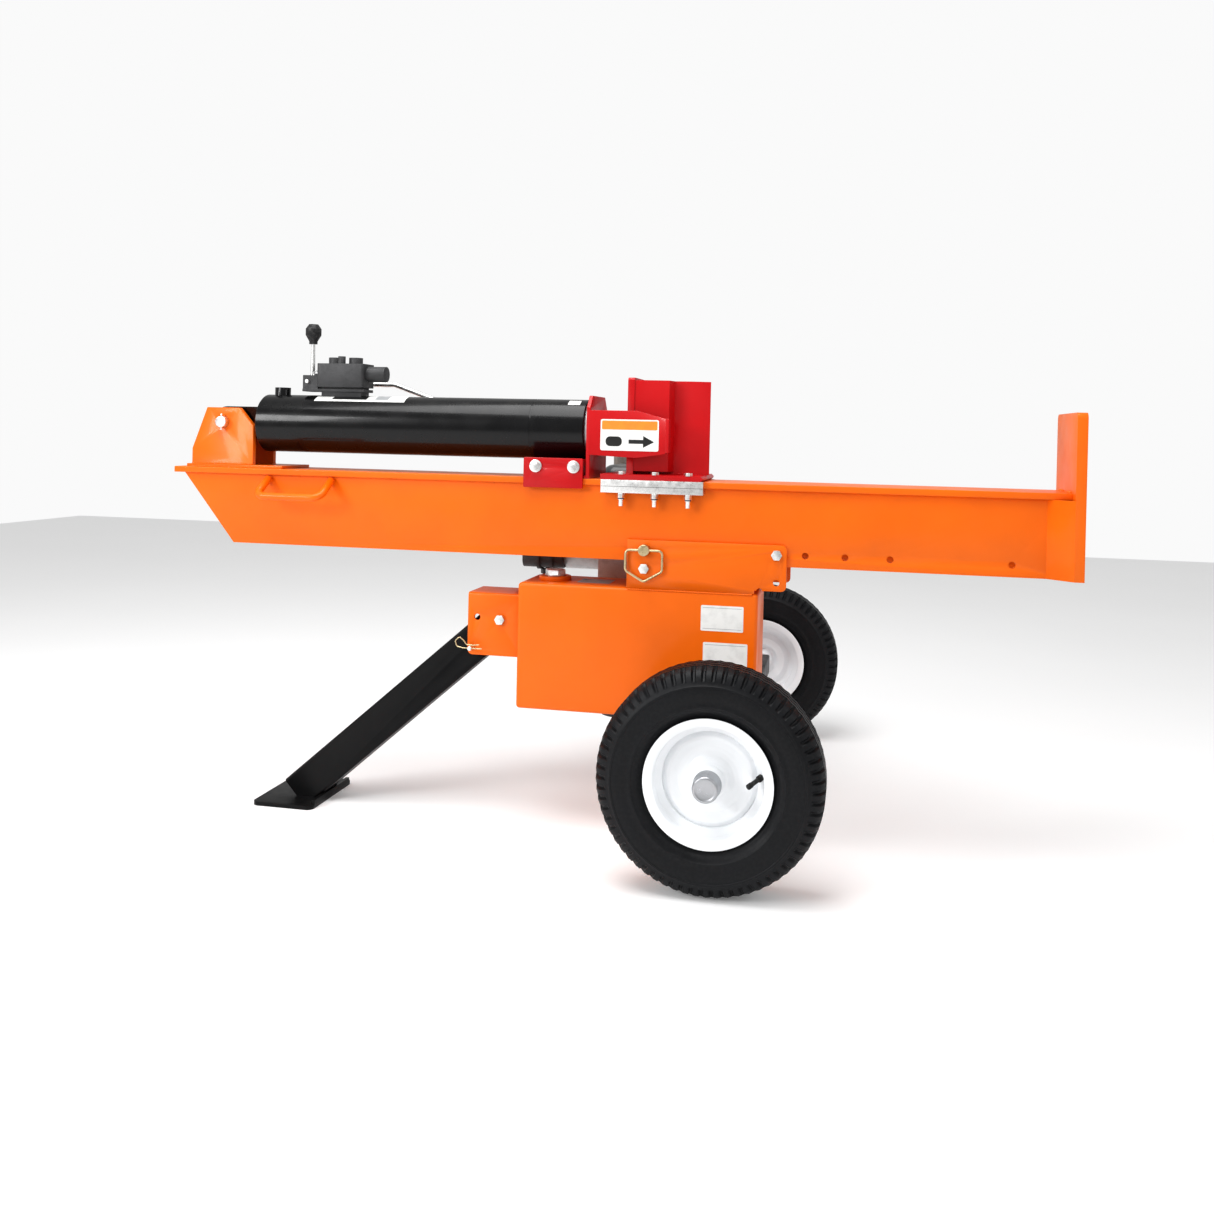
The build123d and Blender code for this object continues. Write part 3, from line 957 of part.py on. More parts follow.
with BuildPart() as pump_body:
    with BuildSketch(at_x(PUMP_X1 - 96)):
        with Locations((CRANK_Y, CRANK_Z)):
            RectangleRounded(104, 86, 20)
    extrude(amount=96)
    for x in (PUMP_X1 - 30, PUMP_X1 - 62):
        with BuildSketch(at_x(x)):
            with Locations((CRANK_Y, CRANK_Z)):
                RectangleRounded(112, 94, 22)
        extrude(amount=8)
    rod_z(PUMP_X1 - 42, CRANK_Y - 12, CRANK_Z + 36, CRANK_Z + 70, 11.5)
    hex_z(PUMP_X1 - 42, CRANK_Y - 12, CRANK_Z + 50, CRANK_Z + 61, 34)
    rod_z(PUMP_X1 - 42, CRANK_Y, CRANK_Z - 70, CRANK_Z - 36, 11.5)
    hex_z(PUMP_X1 - 42, CRANK_Y, CRANK_Z - 61, CRANK_Z - 50, 40)
    rod_z(PUMP_X1 - 42, CRANK_Y - 12, CRANK_Z + 45, CRANK_Z + 71, 8, mode=Mode.SUBTRACT)
    rod_x(CRANK_Y, CRANK_Z, PUMP_X1 - 66, PUMP_X1 + 1, 8.2, mode=Mode.SUBTRACT)
save(pump_body, "pump_body")

# ---- engine controls ------------------------------------------------------------------------
with BuildPart() as recoil_handle:
    rod_x(CRANK_Y + 78, CRANK_Z + 122, FAN_X1 - 79, FAN_X1 + 1, 9)
    fillet(recoil_handle.edges().filter_by(GeomType.CIRCLE), radius=3)
    block(FAN_X1 - 50, FAN_X1 - 28, CRANK_Y + 71, CRANK_Y + 85, CRANK_Z + 96.4, CRANK_Z + 116)
save(recoil_handle, "recoil_handle")

THROTTLE_Y = CRANK_Y - 32
THROTTLE_Z = CRANK_Z + 62
with BuildPart() as throttle_lever:
    rod_x(THROTTLE_Y, THROTTLE_Z, ENGINE_X0 - 6, ENGINE_X0 - GAP, 8)
    rod_x(THROTTLE_Y, THROTTLE_Z, ENGINE_X0 - GAP, ENGINE_X0 + 8, 3)
    block(ENGINE_X0 - 6, ENGINE_X0 - 3, THROTTLE_Y - 4, THROTTLE_Y + 4, THROTTLE_Z, THROTTLE_Z + 34)
    rod_x(THROTTLE_Y, THROTTLE_Z + 34, ENGINE_X0 - 9, ENGINE_X0 - 2, 6)
save(throttle_lever, "throttle_lever")

CHOKE = (-96.0, CRANK_Y - 16, CRANK_Z + 84)
with BuildPart() as choke_lever:
    rod_y(CHOKE[0], CHOKE[2], CHOKE[1] - 2, CHOKE[1] + 5.6, 3)
    block(CHOKE[0] - 4, CHOKE[0] + 4, CHOKE[1] - 6, CHOKE[1] - 2, CHOKE[2] - 30, CHOKE[2] + 5)
save(choke_lever, "choke_lever")

SWITCH_Y = CRANK_Y - 86
SWITCH_Z = CRANK_Z + 30
with BuildPart() as engine_switch:
    rod_x(SWITCH_Y, SWITCH_Z, FAN_X1 - 22 + GAP, FAN_X1 - 8, 11)
    block(FAN_X1 - 8, FAN_X1 + 4, SWITCH_Y - 2, SWITCH_Y + 2, SWITCH_Z - 10, SWITCH_Z + 10)
save(engine_switch, "engine_switch")
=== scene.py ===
"""Looks of a towable hydraulic log splitter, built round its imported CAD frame.

Every piece is made in metres, in the frame's own place: +X runs to the foot plate, -Y is the working side.
"""
from __future__ import annotations

import json
import logging
import math
from dataclasses import dataclass
from enum import Enum
from typing import Callable, Iterable, Sequence

import bmesh
import bpy
from mathutils import Matrix, Vector

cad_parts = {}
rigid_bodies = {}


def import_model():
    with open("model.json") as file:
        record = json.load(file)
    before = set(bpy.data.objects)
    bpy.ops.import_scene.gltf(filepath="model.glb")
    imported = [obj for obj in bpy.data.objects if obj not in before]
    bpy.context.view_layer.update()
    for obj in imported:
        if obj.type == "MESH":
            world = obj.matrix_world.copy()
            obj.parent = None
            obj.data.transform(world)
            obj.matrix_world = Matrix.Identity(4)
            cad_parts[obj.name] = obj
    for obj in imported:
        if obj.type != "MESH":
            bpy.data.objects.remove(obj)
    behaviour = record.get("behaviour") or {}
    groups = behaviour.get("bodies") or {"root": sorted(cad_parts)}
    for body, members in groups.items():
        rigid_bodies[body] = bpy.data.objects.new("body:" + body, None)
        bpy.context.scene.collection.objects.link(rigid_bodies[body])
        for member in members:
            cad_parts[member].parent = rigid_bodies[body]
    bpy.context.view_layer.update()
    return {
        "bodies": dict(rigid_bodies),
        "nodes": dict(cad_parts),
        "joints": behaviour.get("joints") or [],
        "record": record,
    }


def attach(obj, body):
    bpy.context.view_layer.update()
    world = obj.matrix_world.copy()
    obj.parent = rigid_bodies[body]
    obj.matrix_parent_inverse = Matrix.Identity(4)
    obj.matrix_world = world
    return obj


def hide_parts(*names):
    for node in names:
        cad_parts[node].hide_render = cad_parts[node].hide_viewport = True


LOG = logging.getLogger("log_splitter")
MM = 0.001
Point = tuple[float, float, float]
Color = tuple[float, float, float]


class Slot(Enum):
    """The record's material slots."""

    ORANGE = "orange_paint"
    RED = "red_paint"
    BLACK = "black_paint"
    BLACK_GLOSS = "black_gloss_paint"
    ENGINE = "dark_engine_paint"
    FITTING = "black_fitting"
    RIM = "white_rim"
    PLATE = "white_plate"
    ZINC = "zinc_steel"
    YELLOW_ZINC = "yellow_zinc"
    CHROME = "chromed_rod"
    CAP = "chromed_cap"
    ALLOY = "cast_alloy"
    IRON = "dark_cast_iron"
    MUFFLER = "muffler_steel"
    PLASTIC = "black_plastic"
    TYRE = "tyre"
    VALVE = "valve_rubber"


class Side(Enum):
    """The two sides of the axle, with the sign of their Y."""

    NEAR = -1
    FAR = 1


class Graph:
    """One material's node tree, with the few nodes that the finishes need."""

    def __init__(self, name: str) -> None:
        """Start a material with a shader, an output and object coordinates.

        Args:
            name: the material's name.
        """
        self.material = bpy.data.materials.new(name)
        self.material.use_nodes = True
        self.tree = self.material.node_tree
        self.shader = next(n for n in self.tree.nodes if n.type == "BSDF_PRINCIPLED")
        self.place = self.tree.nodes.new("ShaderNodeTexCoord").outputs["Object"]

    def set(self, **values: float | Sequence[float]) -> None:
        """Set the shader's own sockets, named with underscores for spaces.

        Args:
            values: each socket's constant value.
        """
        for key, value in values.items():
            self.shader.inputs[key.replace("_", " ")].default_value = value

    def noise(self, scale: float, detail: float = 4.0, stretch: Point = (1, 1, 1)) -> bpy.types.NodeSocket:
        """A noise over the piece.

        Args:
            scale: how many cells there are in a metre.
            detail: how many finer layers it has.
            stretch: scale along each axis, for brushed or streaked looks.

        Returns:
            The noise's factor.
        """
        mapping = self.tree.nodes.new("ShaderNodeMapping")
        mapping.inputs["Scale"].default_value = stretch
        self.tree.links.new(self.place, mapping.inputs["Vector"])
        node = self.tree.nodes.new("ShaderNodeTexNoise")
        node.inputs["Scale"].default_value = scale
        node.inputs["Detail"].default_value = detail
        self.tree.links.new(mapping.outputs["Vector"], node.inputs["Vector"])
        return node.outputs["Fac"]

    def cells(self, scale: float) -> bpy.types.NodeSocket:
        """Voronoi cells, for spangle and cast grain.

        Args:
            scale: how many cells there are in a metre.

        Returns:
            The distance to the nearest cell's middle.
        """
        node = self.tree.nodes.new("ShaderNodeTexVoronoi")
        node.inputs["Scale"].default_value = scale
        self.tree.links.new(self.place, node.inputs["Vector"])
        return node.outputs["Distance"]

    def span(self, value: bpy.types.NodeSocket, start: float, end: float, low: float, high: float
             ) -> bpy.types.NodeSocket:
        """Map a value's range onto another.

        Args:
            value: the socket to map.
            start: the value that gives low.
            end: the value that gives high.
            low: the result at start.
            high: the result at end.

        Returns:
            The mapped value.
        """
        node = self.tree.nodes.new("ShaderNodeMapRange")
        node.inputs["From Min"].default_value = start
        node.inputs["From Max"].default_value = end
        node.inputs["To Min"].default_value = low
        node.inputs["To Max"].default_value = high
        self.tree.links.new(value, node.inputs["Value"])
        return node.outputs["Result"]

    def mix(self, factor: bpy.types.NodeSocket, low: Color, high: Color) -> bpy.types.NodeSocket:
        """Blend two colours.

        Args:
            factor: 0 gives low and 1 gives high.
            low: the first colour.
            high: the second colour.

        Returns:
            The blended colour.
        """
        node = self.tree.nodes.new("ShaderNodeMix")
        node.data_type = "RGBA"
        node.inputs[6].default_value = (*low, 1)
        node.inputs[7].default_value = (*high, 1)
        self.tree.links.new(factor, node.inputs["Factor"])
        return node.outputs[2]

    def overlay(self, factor: bpy.types.NodeSocket, under: bpy.types.NodeSocket, high: Color
                ) -> bpy.types.NodeSocket:
        """Lay a colour over a colour that already varies.

        Args:
            factor: how much of the upper colour shows.
            under: the colour beneath.
            high: the upper colour.

        Returns:
            The blended colour.
        """
        color = self.mix(factor, high, high)
        self.tree.links.new(under, color.node.inputs[6])
        return color

    def facing_up(self) -> bpy.types.NodeSocket:
        """How far the surface faces up, from 0 on a wall to 1 on a level top.

        Returns:
            The upward part of the surface's direction.
        """
        geometry = self.tree.nodes.new("ShaderNodeNewGeometry")
        split = self.tree.nodes.new("ShaderNodeSeparateXYZ")
        self.tree.links.new(geometry.outputs["Normal"], split.inputs["Vector"])
        return split.outputs["Z"]

    def times(self, a: bpy.types.NodeSocket, b: bpy.types.NodeSocket) -> bpy.types.NodeSocket:
        """Multiply two values.

        Args:
            a: the first value.
            b: the second value.

        Returns:
            Their product.
        """
        node = self.tree.nodes.new("ShaderNodeMath")
        node.operation = "MULTIPLY"
        self.tree.links.new(a, node.inputs[0])
        self.tree.links.new(b, node.inputs[1])
        return node.outputs[0]

    def feed(self, name: str, value: bpy.types.NodeSocket) -> None:
        """Link a value to the shader.

        Args:
            name: the shader's socket.
            value: what feeds it.
        """
        self.tree.links.new(value, self.shader.inputs[name])

    def bump(self, height: bpy.types.NodeSocket, strength: float, depth_mm: float) -> None:
        """Raise the surface by a height, after any bump already there.

        Args:
            height: the height's pattern.
            strength: how strongly it shows, from 0 to 1.
            depth_mm: the height of a full step, in millimetres.
        """
        node = self.tree.nodes.new("ShaderNodeBump")
        node.inputs["Strength"].default_value = strength
        node.inputs["Distance"].default_value = depth_mm * MM
        self.tree.links.new(height, node.inputs["Height"])
        before = self.shader.inputs["Normal"]
        if before.is_linked:
            self.tree.links.new(before.links[0].from_socket, node.inputs["Normal"])
        self.tree.links.new(node.outputs["Normal"], before)


@dataclass(frozen=True)
class Finish:
    """What every finish has: a name, a colour and how rough it is."""

    name: str
    color: Color
    roughness: float

    def shade(self, amount: float) -> Color:
        """The colour made darker or lighter by a factor."""
        red, green, blue = self.color
        return (red * amount, green * amount, blue * amount)

    def wire(self, graph: Graph) -> None:
        """Wire the finish's nodes.

        Args:
            graph: the material's tree.
        """
        raise NotImplementedError(self.name)

    def material(self) -> bpy.types.Material:
        """The finish's material, made once.

        Returns:
            The material.
        """
        found = bpy.data.materials.get(self.name)
        if found:
            return found
        graph = Graph(self.name)
        self.wire(graph)
        return graph.material


@dataclass(frozen=True)
class SprayedPaint(Finish):
    """Sprayed or powder paint: a soft orange peel, a gloss coat, thin dust on what faces up."""

    coat: float = 0.5
    peel: float = 0.12
    dust: float = 0.12
    dust_color: Color = (0.55, 0.5, 0.42)
    shine: float = 0.5

    def wire(self, graph: Graph) -> None:
        """Wire the paint.

        Args:
            graph: the material's tree.
        """
        cloud = graph.noise(5.0, 5.0)
        tint = graph.mix(graph.span(cloud, 0.35, 0.65, 0, 1), self.shade(0.93), self.shade(1.05))
        settle = graph.span(graph.noise(38.0, 8.0), 0.45, 0.75, 0, self.dust)
        lying = graph.times(settle, graph.span(graph.facing_up(), 0.4, 1.0, 0.12, 1.0))
        graph.feed("Base Color", graph.overlay(lying, tint, self.dust_color))
        graph.feed("Roughness", graph.span(graph.noise(16.0, 6.0), 0.3, 0.7, self.roughness - 0.05,
                                           self.roughness + 0.09))
        graph.bump(graph.noise(420.0, 2.0), self.peel, 0.25)
        graph.bump(graph.noise(26.0, 3.0), self.peel * 0.5, 0.8)
        graph.set(Coat_Weight=self.coat, Coat_Roughness=0.09, Specular_IOR_Level=self.shine)


@dataclass(frozen=True)
class PlatedSteel(Finish):
    """Plated or bare steel: fine brushing, faint spangle, small stains."""

    metal: float = 1.0
    brush: Point = (1.0, 1.0, 1.0)
    stain: Color = (0.32, 0.3, 0.27)
    stained: float = 0.3
    flakes: float = 1.0

    def wire(self, graph: Graph) -> None:
        """Wire the metal.

        Args:
            graph: the material's tree.
        """
        spangle = graph.span(graph.cells(240.0), 0.0, 0.7, 0, self.flakes)
        tint = graph.mix(spangle, self.shade(0.88), self.shade(1.06))
        dull = graph.span(graph.noise(60.0, 7.0), 0.5, 0.75, 0, self.stained)
        graph.feed("Base Color", graph.overlay(dull, tint, self.stain))
        graph.feed("Roughness", graph.span(graph.noise(90.0, 6.0, self.brush), 0.3, 0.7,
                                           self.roughness - 0.07, self.roughness + 0.14))
        graph.bump(graph.noise(700.0, 3.0, self.brush), 0.12, 0.12)
        graph.set(Metallic=self.metal)


@dataclass(frozen=True)
class CastMetal(Finish):
    """A sand or die casting: pebbled skin, darker hollows."""

    metal: float = 0.85
    grain: float = 0.4

    def wire(self, graph: Graph) -> None:
        """Wire the casting.

        Args:
            graph: the material's tree.
        """
        pebble = graph.noise(330.0, 5.0)
        cloud = graph.span(graph.noise(18.0, 6.0), 0.35, 0.65, 0, 1)
        tint = graph.mix(cloud, self.shade(0.8), self.shade(1.08))
        grime = graph.span(graph.noise(45.0, 8.0), 0.52, 0.8, 0, 0.5)
        graph.feed("Base Color", graph.overlay(grime, tint, self.shade(0.35)))
        graph.feed("Roughness", graph.span(pebble, 0.3, 0.7, self.roughness - 0.08, self.roughness + 0.12))
        graph.bump(pebble, self.grain, 0.5)
        graph.set(Metallic=self.metal)


@dataclass(frozen=True)
class Moulded(Finish):
    """Moulded rubber or plastic: fine texture, a little dust and bloom."""

    bloom: Color = (0.16, 0.155, 0.15)
    dusty: float = 0.35
    grain: float = 0.25

    def wire(self, graph: Graph) -> None:
        """Wire the moulding.

        Args:
            graph: the material's tree.
        """
        cloud = graph.noise(14.0, 8.0)
        tint = graph.mix(graph.span(cloud, 0.35, 0.65, 0, 1), self.shade(0.8), self.shade(1.25))
        bloom = graph.span(graph.noise(160.0, 9.0), 0.42, 0.85, 0, self.dusty)
        graph.feed("Base Color", graph.overlay(bloom, tint, self.bloom))
        graph.feed("Roughness", graph.span(cloud, 0.3, 0.7, self.roughness - 0.08, self.roughness + 0.12))
        graph.bump(graph.noise(900.0, 3.0), self.grain, 0.15)
        graph.set(Specular_IOR_Level=0.25)


@dataclass(frozen=True)
class PrintedFilm(Finish):
    """A printed self-adhesive film with a faint scuff."""

    def wire(self, graph: Graph) -> None:
        """Wire the film.

        Args:
            graph: the material's tree.
        """
        scuff = graph.span(graph.noise(55.0, 8.0), 0.45, 0.8, 0, 1)
        graph.feed("Base Color", graph.mix(scuff, self.color, self.shade(0.82)))
        graph.feed("Roughness", graph.span(scuff, 0, 1, self.roughness, self.roughness + 0.2))
        graph.bump(graph.noise(260.0, 2.0), 0.05, 0.1)
        graph.set(Coat_Weight=0.3, Coat_Roughness=0.15)


FINISHES: dict[Slot, Finish] = {
    Slot.ORANGE: SprayedPaint("orange_powder_coat", (0.83, 0.150, 0.0), 0.4, coat=0.16, dust=0.03, shine=0.3),
    Slot.RED: SprayedPaint("red_enamel", (0.50, 0.002, 0.005), 0.36, coat=0.2, peel=0.2, dust=0.02,
                           shine=0.3),
    Slot.BLACK: SprayedPaint("black_powder_coat", (0.003, 0.003, 0.0035), 0.36, coat=0.05, dust=0.02,
                             shine=0.2),
    Slot.BLACK_GLOSS: SprayedPaint("black_barrel_enamel", (0.002, 0.002, 0.0025), 0.24, coat=0.25, dust=0.015,
                                   shine=0.25),
    Slot.ENGINE: SprayedPaint("engine_enamel", (0.045, 0.048, 0.052), 0.4, coat=0.25, dust=0.2),
    Slot.FITTING: SprayedPaint("black_fitting_paint", (0.02, 0.02, 0.021), 0.45, coat=0.1),
    Slot.RIM: SprayedPaint("white_rim_enamel", (0.89, 0.91, 0.93), 0.34, coat=0.3, peel=0.05, dust=0.05),
    Slot.PLATE: PrintedFilm("white_film", (0.82, 0.82, 0.80), 0.3),
    Slot.ZINC: PlatedSteel("bright_zinc", (0.80, 0.80, 0.79), 0.3, stained=0.16),
    Slot.YELLOW_ZINC: PlatedSteel("yellow_zinc_plate", (0.62, 0.52, 0.32), 0.3, stain=(0.25, 0.17, 0.09),
                                  stained=0.45),
    Slot.CHROME: PlatedSteel("hard_chrome", (0.82, 0.82, 0.83), 0.12, brush=(30.0, 1.0, 1.0), stained=0.05),
    Slot.CAP: PlatedSteel("pressed_cap_steel", (0.50, 0.51, 0.53), 0.32, stained=0.0, flakes=0.1),
    Slot.ALLOY: CastMetal("cast_aluminium", (0.50, 0.50, 0.50), 0.48),
    Slot.IRON: CastMetal("painted_iron_casting", (0.06, 0.06, 0.062), 0.55, metal=0.3),
    Slot.MUFFLER: PlatedSteel("heat_dulled_steel", (0.36, 0.33, 0.30), 0.5, stain=(0.2, 0.12, 0.07),
                              stained=0.5),
    Slot.PLASTIC: Moulded("black_moulding", (0.02, 0.02, 0.021), 0.45),
    Slot.TYRE: Moulded("tyre_rubber", (0.0065, 0.007, 0.0085), 0.48, bloom=(0.05, 0.048, 0.046), dusty=0.14,
                       grain=0.25),
    Slot.VALVE: Moulded("valve_stem_rubber", (0.014, 0.014, 0.014), 0.5),
}
ORANGE_FILM = PrintedFilm("orange_film", (0.85, 0.28, 0.03), 0.3)
BLACK_FILM = PrintedFilm("black_film", (0.012, 0.012, 0.012), 0.32)
GREY_FILM = PrintedFilm("grey_film", (0.35, 0.36, 0.37), 0.35)
NYLON = Moulded("nylon_ring", (0.05, 0.07, 0.12), 0.4, dusty=0.1)


class Workshop:
    """The steps that turn a bmesh, or a copy of a CAD node, into a finished piece."""

    def __init__(self, frame: dict) -> None:
        """Keep the frame and which body each node rides on.
        """
        self.nodes = frame["nodes"]
        groups = frame["record"]["behaviour"]["bodies"]
        self.body_of = {node: body for body, members in groups.items() for node in members}

    def finish(self, mesh: bpy.types.Mesh, name: str, slot: Slot, body: str, finish: Finish | None,
               rounding: float, crease: float) -> bpy.types.Object:
        """Place, paint and round a mesh.

        Args:
            mesh: the piece's mesh, in its place.
            name: the piece's name.
            slot: the record's slot it takes its finish from.
            body: the CAD body it moves with.
            finish: its finish, where it isn't the slot's own.
            rounding: radius of its edges in millimetres, 0 for none.
            crease: angle in degrees past which an edge is sharp.

        Returns:
            The finished piece.
        """
        mesh.materials.clear()
        mesh.materials.append((finish or FINISHES[slot]).material())
        mesh.shade_smooth()
        piece = bpy.data.objects.new(name, mesh)
        bpy.context.scene.collection.objects.link(piece)
        if rounding > 0:
            bevel = piece.modifiers.new("edge_rounding", "BEVEL")
            bevel.width = rounding * MM
            bevel.segments = 2
            bevel.limit_method = "ANGLE"
            bevel.angle_limit = math.radians(crease)
            bevel.harden_normals = True
        else:
            mesh.set_sharp_from_angle(angle=math.radians(crease))
        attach(piece, body)
        LOG.info("piece %s on %s", name, body)
        return piece

    def make(self, shape: bmesh.types.BMesh, name: str, slot: Slot, body: str, *,
             finish: Finish | None = None,
             rounding: float = 0.0, crease: float = 32.0) -> bpy.types.Object:
        """Turn a bmesh into a finished piece with its faces outwards.

        Args:
            shape: the bmesh, which is freed.
            name: the piece's name.
            slot: the record's slot it takes its finish from.
            body: the CAD body it moves with.
            finish: its finish, where it isn't the slot's own.
            rounding: radius of its edges in millimetres, 0 for none.
            crease: angle in degrees past which an edge is sharp.

        Returns:
            The finished piece.
        """
        bmesh.ops.remove_doubles(shape, verts=shape.verts, dist=2e-6)
        bmesh.ops.recalc_face_normals(shape, faces=shape.faces)
        mesh = bpy.data.meshes.new(name)
        shape.to_mesh(mesh)
        shape.free()
        return self.finish(mesh, name, slot, body, finish, rounding, crease)

    def refine(self, node: str, slot: Slot, rounding: float = 0.7, crease: float = 32.0) -> bpy.types.Object:
        """Copy a CAD node, merge it, clear its flat edges and round its sharp ones.

        Args:
            node: the CAD node it stands for.
            slot: the record's slot it takes its finish from.
            rounding: radius of its edges in millimetres, 0 for none.
            crease: angle in degrees past which an edge is sharp.

        Returns:
            The finished piece.
        """
        shape = bmesh.new()
        shape.from_mesh(self.nodes[node].data)
        bmesh.ops.remove_doubles(shape, verts=shape.verts, dist=4e-6)
        bmesh.ops.dissolve_limit(shape, angle_limit=math.radians(0.6), verts=shape.verts, edges=shape.edges)
        mesh = bpy.data.meshes.new(f"{node}_skin")
        shape.to_mesh(mesh)
        shape.free()
        piece = self.finish(mesh, f"{node}_skin", slot, self.body_of[node], None, rounding, crease)
        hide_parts(node)
        return piece

    def repaint(self, piece: bpy.types.Object, finish: Finish, chosen: Callable[[Vector], bool]) -> None:
        """Give part of a piece a second finish.

        Args:
            piece: the piece.
            finish: the second finish.
            chosen: says from a face's middle, in metres, whether it takes the finish.
        """
        piece.data.materials.append(finish.material())
        for face in piece.data.polygons:
            if chosen(face.center):
                face.material_index = 1


class Shapes:
    """Bmesh starts and steps that several sub-assemblies use."""

    @staticmethod
    def slab(low: Point, high: Point, corner: float = 0.0, segments: int = 4, axis: int = 1
             ) -> bmesh.types.BMesh:
        """A box between two corners, with rounded corners seen along one axis.

        Args:
            low: the lowest corner in millimetres.
            high: the highest corner in millimetres.
            corner: radius of the four corners in millimetres.
            segments: steps of the rounding.
            axis: which axis the rounded corners run along.

        Returns:
            The box.
        """
        shape = bmesh.new()
        bmesh.ops.create_cube(shape, size=1.0)
        size = [(b - a) * MM for a, b in zip(low, high)]
        middle = [(a + b) / 2 * MM for a, b in zip(low, high)]
        bmesh.ops.scale(shape, vec=size, verts=shape.verts)
        bmesh.ops.translate(shape, vec=middle, verts=shape.verts)
        if corner > 0:
            along = [e for e in shape.edges
                     if abs((e.verts[1].co - e.verts[0].co).normalized()[axis]) > 0.9]
            bmesh.ops.bevel(shape, geom=along, offset=corner * MM, segments=segments, profile=0.5,
                            affect="EDGES", material=-1)
        return shape

    @staticmethod
    def turned(profile: Iterable[Point], centre: Point, axis: Point, steps: int, rounding: float = 0.0,
               segments: int = 2) -> bmesh.types.BMesh:
        """Turn a closed profile a full turn about an axis.

        Args:
            profile: the profile's points in millimetres.
            centre: a point on the axis in millimetres.
            axis: the axis's direction.
            steps: steps in the turn.
            rounding: radius of the profile's corners in millimetres.
            segments: steps of each corner.

        Returns:
            The turned shape.
        """
        shape = bmesh.new()
        corners = [shape.verts.new(Vector(p) * MM) for p in profile]
        shape.faces.new(corners)
        if rounding > 0:
            bmesh.ops.bevel(shape, geom=list(shape.verts), offset=rounding * MM, segments=segments,
                            profile=0.5,
                            affect="VERTICES", material=-1)
        bmesh.ops.delete(shape, geom=list(shape.faces), context="FACES_ONLY")
        bmesh.ops.spin(shape, geom=list(shape.edges), cent=Vector(centre) * MM, axis=axis,
                       angle=math.tau, steps=steps, use_merge=True)
        return shape

    @staticmethod
    def merge(shape: bmesh.types.BMesh, other: bmesh.types.BMesh) -> None:
        """Add one bmesh to another and free it.

        Args:
            shape: the bmesh that grows.
            other: the bmesh that is added.
        """
        carrier = bpy.data.meshes.new("carrier")
        other.to_mesh(carrier)
        other.free()
        shape.from_mesh(carrier)
        bpy.data.meshes.remove(carrier)

    @staticmethod
    def weld(start: Point, end: Point, radius: float = 2.6, pitch: float = 3.6) -> bmesh.types.BMesh:
        """A weld bead of overlapping ripples.

        Args:
            start: where it begins, in millimetres.
            end: where it ends, in millimetres.
            radius: the bead's radius in millimetres.
            pitch: the distance between ripples in millimetres.

        Returns:
            The bead.
        """
        shape = bmesh.new()
        run = Vector(end) - Vector(start)
        count = max(2, int(run.length / pitch))
        turn = run.to_track_quat("Z", "Y").to_matrix().to_4x4()
        for i in range(count + 1):
            place = Matrix.Translation((Vector(start) + run * i / count) * MM)
            swell = radius * (1 + 0.09 * math.sin(i * 2.4))
            size = Matrix.Diagonal((swell * MM, swell * MM, pitch * 0.9 * MM, 1))
            bmesh.ops.create_icosphere(shape, subdivisions=1, radius=1.0, matrix=place @ turn @ size)
        return shape


